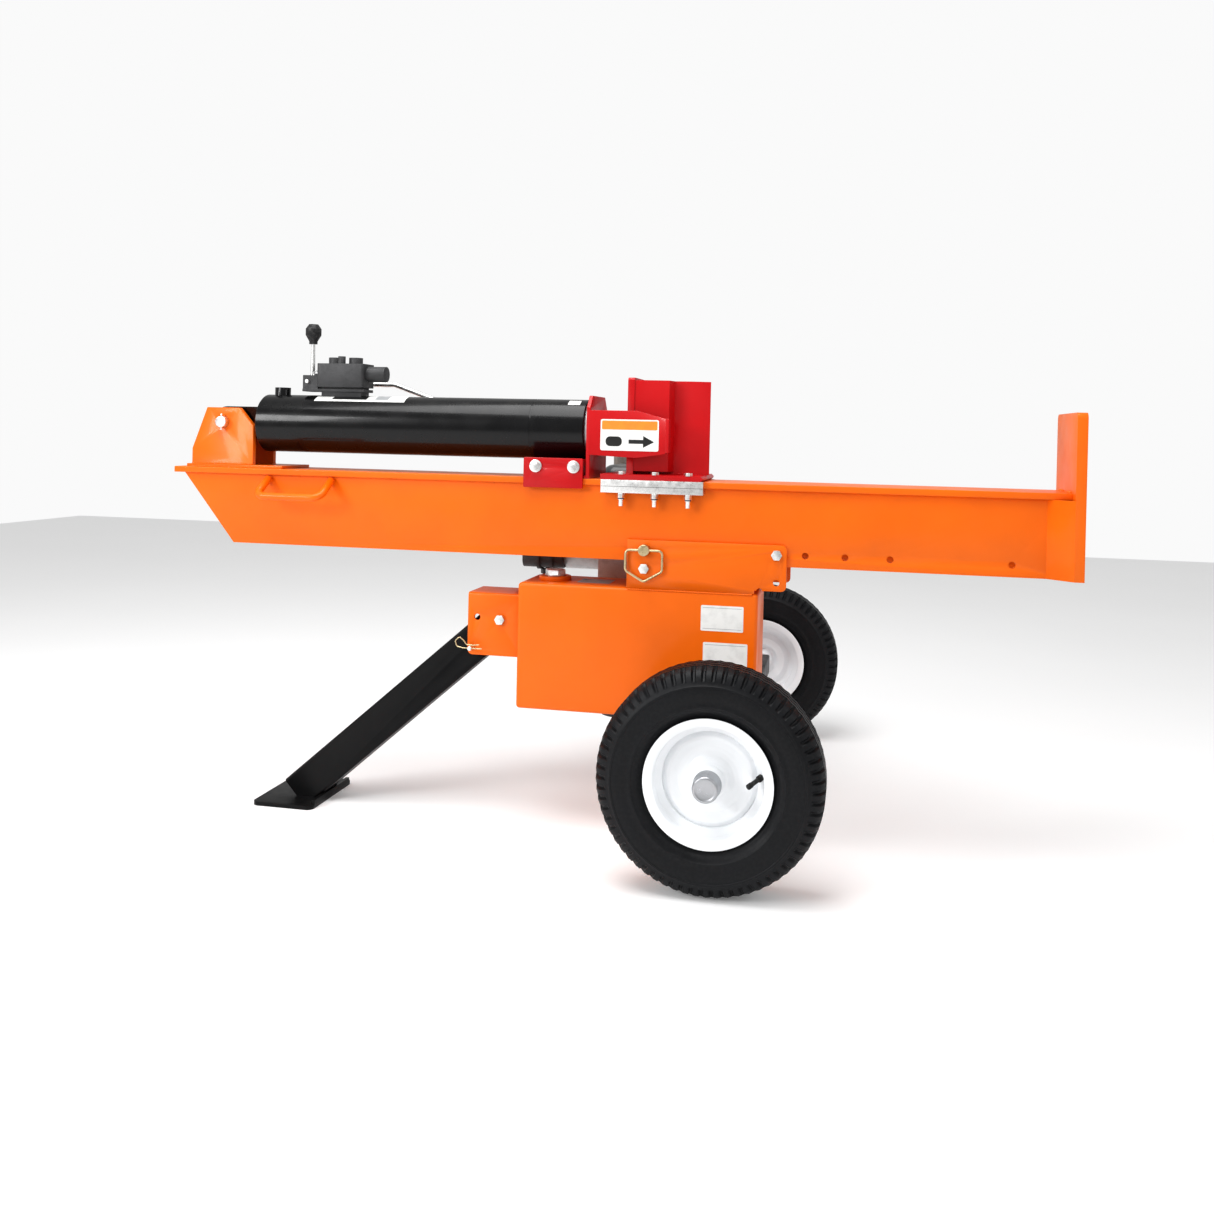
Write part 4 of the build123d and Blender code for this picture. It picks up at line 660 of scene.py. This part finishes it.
@dataclass
class Wheels:
    """Both road wheels: tread, sidewalls, rim, cap and valve."""

    axle_x: float = 285.5
    axle_z: float = 206.0
    half_track: float = 550.0
    tread_radius: float = 206.0
    tread_half: float = 33.0
    rim_radius: float = 117.0
    rim_half: float = 47.5
    hub_radius: float = 27.0
    hub_half: float = 45.0
    groove_depth: float = 4.5
    steps: int = 396
    lugs: int = 66
    wave: float = 3.0
    sipe_steps: int = 2
    sipe_depth: float = 5.0
    rib_half: float = 28.0
    rib_radius: float = 200.0
    sipe_from: float = 32.5
    sipe_radius: float = 185.0

    def ring(self, side: Side, profile: Iterable[tuple[float, float]], steps: int, rounding: float
             ) -> bmesh.types.BMesh:
        """Turn a profile of radius and outward offset about the axle.

        Args:
            side: which wheel.
            profile: the radius and outward offset of each point, in millimetres.
            steps: steps in the turn.
            rounding: radius of the profile's corners in millimetres.

        Returns:
            The ring.
        """
        middle = side.value * self.half_track
        points = [(self.axle_x + r, middle + side.value * off, self.axle_z) for r, off in profile]
        return Shapes.turned(points, (self.axle_x, middle, self.axle_z), (0, 1, 0), steps, rounding)

    def tread_profile(self) -> list[tuple[float, float]]:
        """The tyre's outer and inner skin, with four tread grooves and raised sidewall rings.

        Returns:
            The radius and offset of each point, in millimetres.
        """
        top = self.tread_radius
        wall = [(105, 39.5), (121, 41.5), (126, 46), (129, 49.5), (133, 51.6), (137, 53.6), (138, 54.9),
                (141, 55.4), (142, 54.9), (150, 56.2), (158, 57), (166, 57), (172, 56.4), (173, 57.2),
                (176, 56.8), (177, 55.6), (183, 53.6), (190, 50), (197, 45.5), (201.5, 39),
                (204, self.tread_half)]
        crown = []
        for centre in (24.0, 8.0, -8.0, -24.0):
            crown += [(top - 0.2, centre + 3.1), (top - self.groove_depth, centre + 2.2),
                      (top - self.groove_depth, centre - 2.2), (top - 0.2, centre - 3.1)]
        inner = [(105, -25.5), (139, -43), (176, -46), (192, -33),
                 (192, 33), (176, 46), (139, 43), (105, 25.5)]
        return wall + crown + [(r, -off) for r, off in reversed(wall)] + inner

    def tyre(self, shop: Workshop, side: Side) -> None:
        """Build one tyre, with zigzag grooves and shoulder lugs.

        Args:
            shop: the workshop.
            side: which wheel.
        """
        name = side.name.lower()
        shape = self.ring(side, self.tread_profile(), self.steps, 0.0)
        middle = side.value * self.half_track * MM
        per_lug = self.steps // self.lugs
        for vert in shape.verts:
            out = vert.co.y - middle
            arm = Vector((vert.co.x - self.axle_x * MM, 0, vert.co.z - self.axle_z * MM))
            step = round(math.atan2(arm.z, arm.x) / math.tau * self.steps) % per_lug
            if abs(out) < self.rib_half * MM and arm.length > self.rib_radius * MM:
                vert.co.y += (abs(step / per_lug - 0.5) * 4 - 1) * self.wave * MM
            elif (abs(out) > self.sipe_from * MM and arm.length > self.sipe_radius * MM
                  and step < self.sipe_steps):
                inward = arm.normalized() * 0.6 + Vector((0, math.copysign(0.8, out), 0))
                vert.co -= inward * self.sipe_depth * MM
        piece = shop.make(shape, f"{name}_tyre_carcass", Slot.TYRE, f"{name}_wheel", crease=38)
        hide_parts(f"{name}_tyre")

    def rim(self, shop: Workshop, side: Side) -> None:
        """Build one rim with its rolled flanges, drop centre, stamped disc and hub.

        Args:
            shop: the workshop.
            side: which wheel.
        """
        name = side.name.lower()
        flange, edge, hub, half = self.rim_half, self.rim_radius, self.hub_radius, self.hub_half
        profile = [
            (edge, flange), (edge, flange - 2.5), (111, flange - 6), (104, flange - 8), (103, flange - 26),
            (91, flange - 34), (91, 34 - flange), (103, 26 - flange), (104, 8 - flange), (111, 6 - flange),
            (edge, 2.5 - flange), (edge, -flange), (109, 3 - flange), (100, 6 - flange), (99, 24 - flange),
            (87, 32 - flange), (87, 1), (78, 9), (73, 10), (61, 1), (42, 3), (35, 13), (hub, 14),
            (hub, -half), (hub - 7, -half), (hub - 7, 16 - half), (18, 18 - half), (18, half - 18),
            (hub - 7, half - 16), (hub - 7, half), (hub, half), (hub, 20), (33, 18.6), (38, 13), (44, 9.4),
            (52, 8.2), (60, 8.6), (66, 11), (72, 13.4), (78, 13.2), (83, 10), (87, 7), (87, flange - 32),
            (99, flange - 24), (100, flange - 6), (109, flange - 3)]
        piece = shop.make(self.ring(side, profile, 144, 1.1), f"{name}_rim_pressing", Slot.RIM,
                          f"{name}_wheel", crease=64)
        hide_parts(f"{name}_rim")

    def cap(self, shop: Workshop, side: Side) -> None:
        """Build one pressed hub cap with a shallow dish in its end.

        Args:
            shop: the workshop.
            side: which wheel.
        """
        name = side.name.lower()
        lip, end = self.hub_half + 0.2, self.hub_half + 35
        profile = [(25.5, lip), (25.5, lip + 5), (24.8, lip + 5.8), (24.2, lip + 7), (23.8, end - 5.5),
                   (23.3, end - 3), (22.2, end - 1.2), (20.6, end - 0.3), (19.2, end), (18.2, end - 0.3),
                   (17.4, end - 1.1), (16.2, end - 1.5), (0.0, end - 1.6), (0.0, end - 2.6),
                   (16.2, end - 2.5),
                   (21.8, end - 3), (22.6, end - 6), (23.0, lip)]
        piece = shop.make(self.ring(side, profile, 96, 0.0), f"{name}_pressed_cap", Slot.CAP,
                          f"{name}_wheel", crease=60)
        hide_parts(f"{name}_hub_cap")

    def build(self, shop: Workshop) -> None:
        """Build both wheels.

        Args:
            shop: the workshop.
        """
        for side in Side:
            self.tyre(shop, side)
            self.rim(shop, side)
            self.cap(shop, side)
            shop.refine(f"{side.name.lower()}_valve", Slot.VALVE, 0.5)


@dataclass
class TankFrame:
    """The oil tank that is also the frame, with its cradle, bracket, axle and fittings."""

    x0: float = -154.5
    x1: float = 343.5
    z0: float = 245.0
    z1: float = 507.0
    y: float = -242.0
    half: float = 76.2
    edge: float = 7.5
    film: float = 0.5

    def shell(self, shop: Workshop) -> None:
        """Build the folded tank with its rounded edges.

        Args:
            shop: the workshop.
        """
        shape = Shapes.slab((self.x0, self.y - self.half, self.z0), (self.x1, self.y + self.half, self.z1))
        bmesh.ops.bevel(shape, geom=list(shape.edges), offset=self.edge * MM, segments=5, profile=0.5,
                        affect="EDGES", material=-1)
        piece = shop.make(shape, "tank_shell", Slot.ORANGE, "chassis", crease=40)
        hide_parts("tank")

    def plates(self, shop: Workshop) -> None:
        """Build the two blank plates on the tank and a small one on its top.

        Args:
            shop: the workshop.
        """
        front = self.y - self.half
        fronts = ((229.8, 315.6, 428.8, 480.3), (235.6, 325.0, 357.0, 406.1))
        shape = bmesh.new()
        frame = bmesh.new()
        for x0, x1, z0, z1 in fronts:
            Shapes.merge(shape, Shapes.slab((x0, front - self.film, z0), (x1, front + 0.1, z1), 2.5))
            for a, b, c, d in ((x0 + 4, x1 - 4, z1 - 5.2, z1 - 4.4), (x0 + 4, x1 - 4, z0 + 4.4, z0 + 5.2)):
                Shapes.merge(frame, Shapes.slab((a, front - self.film - 0.1, c), (b, front - 0.2, d)))
        piece = shop.make(shape, "blank_plates", Slot.PLATE, "chassis", crease=40)
        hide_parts("info_plates")
        shop.make(frame, "plate_border_lines", Slot.PLATE, "chassis", finish=GREY_FILM, crease=40)
        top = Shapes.slab((-40, self.y - 30, self.z1 - 0.1), (30, self.y + 30, self.z1 + 0.4), 3, axis=2)
        shop.make(top, "tank_top_plate", Slot.PLATE, "chassis", finish=GREY_FILM, crease=40)

    def welds(self, shop: Workshop) -> None:
        """Lay the weld beads of the cradle, the bracket and the axle plates.

        Args:
            shop: the workshop.
        """
        shape = bmesh.new()
        for y in (self.y - self.half + 1.2, self.y + self.half - 1.2):
            Shapes.merge(shape, Shapes.weld((80, y, self.z1 - 2.2), (330, y, self.z1 - 2.2)))
        for y in (self.y - 50, self.y + 50):
            Shapes.merge(shape, Shapes.weld((self.x0 - 0.6, y, 350), (self.x0 - 0.6, y, 470)))
        Shapes.merge(shape, Shapes.weld((self.x0 - 0.6, self.y - 44, 478), (self.x0 - 0.6, self.y + 44, 478)))
        for y in (self.y - self.half + 8, self.y + self.half - 8):
            Shapes.merge(shape, Shapes.weld((230, y, self.z0 - 0.4), (330, y, self.z0 - 0.4), 2.2))
        back = self.y + self.half + 0.8
        Shapes.merge(shape, Shapes.weld((-70, back, 431), (185, back, 431)))
        shop.make(shape, "frame_weld_beads", Slot.ORANGE, "chassis", crease=60)

    def build(self, shop: Workshop) -> None:
        """Build the tank and dress the frame's CAD nodes.

        Args:
            shop: the workshop.
        """
        self.shell(shop)
        self.plates(shop)
        self.welds(shop)
        for node in ("filler_neck", "cradle_plates", "tongue_bracket", "engine_platform"):
            shop.refine(node, Slot.ORANGE)
        shop.refine("axle", Slot.BLACK, 1.0)
        shop.refine("tank_fittings", Slot.FITTING)
        shop.refine("frame_bolts", Slot.ZINC, 0.5)
        shop.refine("wheel_bearings", Slot.ZINC, 0.4)
        shop.refine("filler_cap", Slot.ZINC, 0.6)


@dataclass
class StandAndPins:
    """The folding stand with its lock pin, and the beam's latch pin with its bail."""

    def build(self, shop: Workshop) -> None:
        """Dress the stand, the pins, the hairpin and the bail.

        Args:
            shop: the workshop.
        """
        shop.refine("stand", Slot.BLACK, 1.2)
        shop.refine("stand_pin", Slot.ZINC, 0.3)
        shop.refine("hairpin", Slot.YELLOW_ZINC, 0.0, 60)
        shop.refine("latch_pin", Slot.YELLOW_ZINC, 0.5)
        shop.refine("latch_bail", Slot.YELLOW_ZINC, 0.0, 60)


@dataclass
class Beam:
    """The channel beam with its foot plate, cylinder ears, clamps, stripper and lift handle."""

    y: float = -242.0
    top: float = 727.0
    web_half: float = 69.0
    foot_x: float = 931.5
    arm_face: float = -320.0

    def welds(self, shop: Workshop) -> None:
        """Lay the weld beads under the top plate, at the foot plate and round the ears.

        Args:
            shop: the workshop.
        """
        shape = bmesh.new()
        under = self.top - 13.6
        for y in (self.y - self.web_half - 1.0, self.y + self.web_half + 1.0):
            for start in (-900, -700, -480, -260):
                Shapes.merge(shape, Shapes.weld((start, y, under), (start + 46, y, under), 2.2))
        for y in (self.y - 60, self.y + 60):
            foot, height = self.foot_x - 1, self.top + 1
            Shapes.merge(shape, Shapes.weld((foot, y, height), (foot, y / 2 + self.y / 2, height), 2.6))
        for y in (self.y - 63, self.y + 63):
            Shapes.merge(shape, Shapes.weld((-926, y, self.top + 1), (-704, y, self.top + 1), 2.4))
        for y in (self.y - 51.4, self.y + 51.4):
            Shapes.merge(shape, Shapes.weld((-922, y, self.top + 7.4), (-780, y, self.top + 7.4), 2.4))
        shop.make(shape, "beam_weld_beads", Slot.ORANGE, "beam", crease=60)

    def label(self, shop: Workshop) -> None:
        """Build the stripper arm's plain direction label: a white film, an orange band and an arrow.

        Args:
            shop: the workshop.
        """
        face = self.arm_face
        base = Shapes.slab((15, face - 0.4, 786), (136, face + 0.1, 850), 4)
        shop.make(base, "stripper_label", Slot.PLATE, "beam", crease=40)
        band = Shapes.slab((18, face - 0.55, 829), (133, face - 0.2, 847), 2)
        shop.make(band, "stripper_label_band", Slot.PLATE, "beam", finish=ORANGE_FILM, crease=40)
        arrow = Shapes.slab((74, face - 0.55, 801), (104, face - 0.2, 809))
        head = Shapes.slab((104, face - 0.55, 793), (126, face - 0.2, 817))
        for vert in head.verts:
            if vert.co.x > 0.12:
                vert.co.z = 0.805 + (vert.co.z - 0.805) * 0.03
        Shapes.merge(arrow, head)
        mark = Shapes.slab((26, face - 0.55, 795), (60, face - 0.2, 815), 9)
        Shapes.merge(arrow, mark)
        shop.make(arrow, "stripper_label_arrow", Slot.PLATE, "beam", finish=BLACK_FILM, crease=40)

    def build(self, shop: Workshop) -> None:
        """Dress the beam's CAD nodes and add its beads and label.

        Args:
            shop: the workshop.
        """
        for node in ("beam_channel", "beam_top_plate", "foot_plate", "cylinder_ears"):
            shop.refine(node, Slot.ORANGE, 1.0)
        shop.refine("lift_handle", Slot.ORANGE, 0.0, 60)
        for node in ("stripper", "saddle_clamps"):
            shop.refine(node, Slot.RED, 0.9)
        shop.refine("clamp_bolts", Slot.ZINC, 0.6)
        shop.refine("base_pin", Slot.ZINC, 0.5)
        self.welds(shop)
        self.label(shop)


@dataclass
class Hydraulics:
    """The cylinder, its rod and the control valve."""

    y: float = -242.0
    z: float = 827.0
    radius: float = 63.5
    x0: float = -768.0
    x1: float = -25.0
    seam_x: float = -142.0

    def tube(self, shop: Workshop) -> None:
        """Build the smooth tube over the CAD barrel, with its seam ring.

        Args:
            shop: the workshop.
        """
        shop.refine("cylinder_barrel", Slot.BLACK_GLOSS, 0.8)
        skin, wall = self.radius + 0.12, self.radius - 1.5
        profile = [(self.x0 + 2.5, skin), (self.seam_x - 2, skin), (self.seam_x - 1.2, skin - 0.5),
                   (self.seam_x + 1.2, skin - 0.5), (self.seam_x + 2, skin), (self.x1 - 2.5, skin),
                   (self.x1 - 2.5, wall), (self.x0 + 2.5, wall)]
        points = [(x, self.y, self.z + r) for x, r in profile]
        shape = Shapes.turned(points, (0, self.y, self.z), (1, 0, 0), 160)
        shop.make(shape, "barrel_tube", Slot.BLACK_GLOSS, "beam", crease=30)

    def strip(self, shop: Workshop, name: str, x0: float, x1: float, start: float, sweep: float,
              finish: Finish, lift: float = 0.3) -> None:
        """Build a film label that follows the barrel's curve.

        Args:
            shop: the workshop.
            name: the piece's name.
            x0: its left end in millimetres.
            x1: its right end in millimetres.
            start: the angle in degrees, from the barrel's top towards the working side, where it begins.
            sweep: the angle in degrees that it covers.
            finish: the film's finish.
            lift: how far it stands off the barrel in millimetres.
        """
        shape = bmesh.new()
        reach = (self.radius + lift) * MM
        ends = [shape.verts.new((x * MM, self.y * MM, self.z * MM + reach)) for x in (x0, x1)]
        shape.edges.new(ends)
        centre = (0, self.y * MM, self.z * MM)
        turn = Matrix.Rotation(math.radians(start), 3, "X")
        bmesh.ops.rotate(shape, cent=centre, matrix=turn, verts=shape.verts)
        bmesh.ops.spin(shape, geom=list(shape.edges), cent=centre, axis=(1, 0, 0), angle=math.radians(sweep),
                       steps=18)
        bmesh.ops.solidify(shape, geom=list(shape.faces), thickness=0.12 * MM)
        shop.make(shape, name, Slot.PLATE, "beam", finish=finish, crease=50)

    def build(self, shop: Workshop) -> None:
        """Build the tube and labels and dress the rest.

        Args:
            shop: the workshop.
        """
        self.tube(shop)
        white = FINISHES[Slot.PLATE]
        self.strip(shop, "barrel_label", -640, -430, 4, 34, white)
        self.strip(shop, "barrel_label_field", -600, -520, 9, 22, BLACK_FILM, 0.5)
        self.strip(shop, "barrel_label_panel", -500, -470, 9, 22, GREY_FILM, 0.5)
        self.strip(shop, "barrel_tag", -66, -40, 18, 18, white)
        shop.refine("cylinder_gland", Slot.ALLOY, 0.5)
        shop.refine("cylinder_rod", Slot.CHROME, 0.5)
        shop.refine("piston", Slot.ALLOY, 0.5)
        shop.refine("valve_body", Slot.IRON, 1.0)
        shop.refine("valve_spool", Slot.CHROME, 0.5)
        shop.refine("steel_pipe", Slot.ZINC, 0.0, 60)
        lever = shop.refine("valve_lever", Slot.ZINC, 0.4)
        shop.repaint(lever, FINISHES[Slot.PLASTIC], lambda middle: middle.z > 1.004)


@dataclass
class WedgeCarriage:
    """The red wedge on its slide, with gib bars and bolts."""

    y: float = -242.0
    slide_half: float = 90.0
    x0: float = 20.2
    x1: float = 230.0
    seam_z: float = 713.9
    bolts: tuple[float, float, float] = (61.8, 130.7, 199.3)
    bolt_y: float = 84.3

    def build(self, shop: Workshop) -> None:
        """Dress the wedge and add a thin dark strip painted as the shadow in the gib seam, the nylon rings
        and the welds.

        Args:
            shop: the workshop.
        """
        shop.refine("wedge", Slot.RED, 1.0)
        shop.refine("gib_bars", Slot.ZINC, 0.8)
        shop.refine("gib_bolts", Slot.ZINC, 0.5)
        # The seam strip is painted shadow: a thin dark strip laid along the gib seam where the gap falls into
        # shade.
        seam = bmesh.new()
        rings = bmesh.new()
        for sign in (-1, 1):
            face = self.y + sign * self.slide_half
            low, high = sorted((face - sign * 0.8, face + sign * 0.06))
            Shapes.merge(seam, Shapes.slab((self.x0 + 1, low, self.seam_z - 0.35), (self.x1 - 1, high,
                                                                                 self.seam_z + 0.35)))
            for x in self.bolts:
                y = self.y + sign * self.bolt_y
                profile = [(x + 4.9, y, 688.2), (x + 6.3, y, 688.2), (x + 6.3, y, 690.6), (x + 4.9, y, 690.6)]
                Shapes.merge(rings, Shapes.turned(profile, (x, y, 0), (0, 0, 1), 32, 0.4))
        shop.make(seam, "gib_seam_shadow", Slot.FITTING, "wedge_slide", finish=FINISHES[Slot.FITTING],
                  crease=40)
        shop.make(rings, "lock_nut_rings", Slot.PLASTIC, "wedge_slide", finish=NYLON, crease=40)
        beads = bmesh.new()
        for sign in (-1, 1):
            side = self.y + sign * 13.4
            Shapes.merge(beads, Shapes.weld((84, side, 739.6), (190, side, 739.6), 2.6))
            inner, outer = self.y + sign * 20, self.y + sign * 48
            Shapes.merge(beads, Shapes.weld((66, inner, 740), (66, outer, 740), 2.6))
        shop.make(beads, "wedge_weld_beads", Slot.RED, "wedge_slide", crease=60)


@dataclass
class EngineAndPump:
    """The petrol engine, the pump on its shaft and their controls."""

    y: float = 20.0
    z: float = 546.0
    fan_x: float = 192.0

    def cover_details(self, shop: Workshop) -> None:
        """Add the starter cover's ring, its screws and the muffler's guard slats.

        Args:
            shop: the workshop.
        """
        ring = Shapes.turned([(self.fan_x - 0.4, self.y, self.z + r) for r in (20, 24)] +
                             [(self.fan_x - 2.4, self.y, self.z + r) for r in (25, 19)],
                             (0, self.y, self.z), (1, 0, 0), 64, 0.4)
        shop.make(ring, "starter_cover_ring", Slot.ALLOY, "chassis", crease=40)
        screws = bmesh.new()
        for i in range(6):
            turn = math.tau * (i + 0.5) / 6
            y = self.y + 88 * math.cos(turn)
            z = self.z + 88 * math.sin(turn)
            place = Matrix.Translation((0.1712, y * MM, z * MM)) @ Matrix.Rotation(math.pi / 2, 4, "Y")
            bmesh.ops.create_cone(screws, cap_ends=True, segments=6, radius1=0.0045, radius2=0.0042,
                                  depth=0.004, matrix=place)
        shop.make(screws, "starter_cover_screws", Slot.ZINC, "chassis", rounding=0.3, crease=40)
        slats = bmesh.new()
        for i in range(7):
            x0 = -40 + i * 13
            Shapes.merge(slats, Shapes.slab((x0, self.y + 104, self.z + 236.6), (x0 + 6, self.y + 160,
                                                                             self.z + 239.2), 2, axis=2))
        shop.make(slats, "muffler_guard_slats", Slot.MUFFLER, "chassis", rounding=0.5, crease=40)

    def build(self, shop: Workshop) -> None:
        """Dress the engine's and the pump's CAD nodes and add the cover details.

        Args:
            shop: the workshop.
        """
        for node in ("engine_block", "cylinder_head", "pump_housing"):
            shop.refine(node, Slot.ALLOY, 0.8)
        for node in ("crankshaft", "throttle_lever"):
            shop.refine(node, Slot.ZINC, 0.3)
        for node in ("flywheel", "shaft_coupling"):
            shop.refine(node, Slot.ALLOY, 0.6)
        shop.refine("pump_body", Slot.IRON, 1.2)
        shop.refine("fan_housing", Slot.ENGINE, 0.8)
        shop.refine("fuel_tank", Slot.ENGINE, 0.8)
        shop.refine("muffler", Slot.MUFFLER, 0.8)
        shop.refine("air_cleaner", Slot.PLASTIC, 1.2)
        for node in ("fuel_cap", "recoil_handle", "choke_lever", "engine_switch"):
            shop.refine(node, Slot.PLASTIC, 0.5)
        self.cover_details(shop)


@dataclass
class Studio:
    """The pale floor, the soft lights and the camera."""

    eye: Point = (0.5315, -2.570, 0.825)
    yaw: float = 11.329
    pitch: float = -0.41
    roll: float = -1.292
    focal: float = 33.46
    shift: tuple[float, float] = (-0.0205, -0.1376)
    surround: float = 0.5
    backdrop: float = 0.8
    reach: float = 6.0

    def floor(self) -> None:
        """Lay the floor just under the wheels."""
        shape = bmesh.new()
        bmesh.ops.create_grid(shape, x_segments=1, y_segments=1, size=self.reach)
        bmesh.ops.translate(shape, vec=(0, 0, -0.0005), verts=shape.verts)
        mesh = bpy.data.meshes.new("studio_floor")
        shape.to_mesh(mesh)
        shape.free()
        graph = Graph("studio_floor_paint")
        graph.feed("Base Color", graph.mix(graph.noise(1.5, 3.0), (0.86, 0.86, 0.86), (0.9, 0.9, 0.9)))
        graph.set(Roughness=0.75, Emission_Strength=0.12)
        mesh.materials.append(graph.material)
        ground = bpy.data.objects.new("studio_floor", mesh)
        bpy.context.scene.collection.objects.link(ground)

    def lamp(self, name: str, place: Point, aim: Point, size: float, power: float) -> None:
        """Hang one soft area light.

        Args:
            name: the light's name.
            place: where it hangs, in metres.
            aim: the point it looks at.
            size: the length of its side in metres.
            power: its power in watts.
        """
        data = bpy.data.lights.new(name, "AREA")
        data.size = size
        data.energy = power
        light = bpy.data.objects.new(name, data)
        light.location = place
        light.rotation_euler = (Vector(aim) - Vector(place)).to_track_quat("-Z", "Y").to_euler()
        bpy.context.scene.collection.objects.link(light)

    def lights(self) -> None:
        """Light the studio: a bright surround, an overhead softbox and two at the sides."""
        world = bpy.data.worlds.new("studio_surround")
        world.use_nodes = True
        world.node_tree.nodes["Background"].inputs["Color"].default_value = (1, 1, 1, 1)
        tree = world.node_tree
        tree.nodes["Background"].inputs["Strength"].default_value = self.surround
        backdrop = tree.nodes.new("ShaderNodeBackground")
        backdrop.inputs["Color"].default_value = (1, 1, 1, 1)
        backdrop.inputs["Strength"].default_value = self.backdrop
        seen = tree.nodes.new("ShaderNodeLightPath")
        choice = tree.nodes.new("ShaderNodeMixShader")
        tree.links.new(seen.outputs["Is Camera Ray"], choice.inputs[0])
        tree.links.new(tree.nodes["Background"].outputs[0], choice.inputs[1])
        tree.links.new(backdrop.outputs[0], choice.inputs[2])
        tree.links.new(choice.outputs[0], tree.nodes["World Output"].inputs["Surface"])
        bpy.context.scene.world = world
        self.lamp("overhead_box", (-0.4, -0.9, 3.0), (0, -0.2, 0.5), 2.0, 58)
        self.lamp("left_box", (-2.6, -2.9, 1.9), (0, -0.25, 0.6), 1.2, 52)
        self.lamp("right_box", (3.0, -1.6, 2.2), (0.2, -0.2, 0.6), 1.0, 12)
        bpy.context.scene.view_settings.view_transform = "Standard"
        bpy.context.scene.view_settings.look = "Medium High Contrast"

    def camera(self) -> None:
        """Set the camera up from its place, yaw, pitch and roll."""
        yaw, pitch, roll = (math.radians(a) for a in (self.yaw, self.pitch, self.roll))
        ahead = Vector((-math.sin(yaw) * math.cos(pitch), math.cos(yaw) * math.cos(pitch), math.sin(pitch)))
        level = Vector((math.cos(yaw), math.sin(yaw), 0))
        upright = level.cross(ahead)
        across = level * math.cos(roll) - upright * math.sin(roll)
        above = upright * math.cos(roll) + level * math.sin(roll)
        data = bpy.data.cameras.new("studio_camera")
        data.sensor_width = 36
        data.lens = self.focal
        data.shift_x, data.shift_y = self.shift
        camera = bpy.data.objects.new("studio_camera", data)
        turn = Matrix((across, above, -ahead)).transposed()
        camera.matrix_world = Matrix.Translation(self.eye) @ turn.to_4x4()
        bpy.context.scene.collection.objects.link(camera)
        bpy.context.scene.camera = camera

    def build(self) -> None:
        """Set up the floor, the lights and the camera."""
        self.floor()
        self.lights()
        self.camera()


def corners(box: Iterable[Iterable[float]]) -> list[list[float]]:
    """A box's corners as plain lists."""
    return [list(map(float, corner)) for corner in box]


def main() -> None:
    """Build every sub-assembly in order."""
    logging.basicConfig(level=logging.INFO, format="%(name)s %(message)s")
    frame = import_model()
    shop = Workshop(frame)
    for part in (Wheels(), TankFrame(), StandAndPins(), Beam(), Hydraulics(), WedgeCarriage(),
                 EngineAndPump()):
        LOG.info("building %s", type(part).__name__)
        part.build(shop)
    Studio().build()


if __name__ == "__main__":
    main()
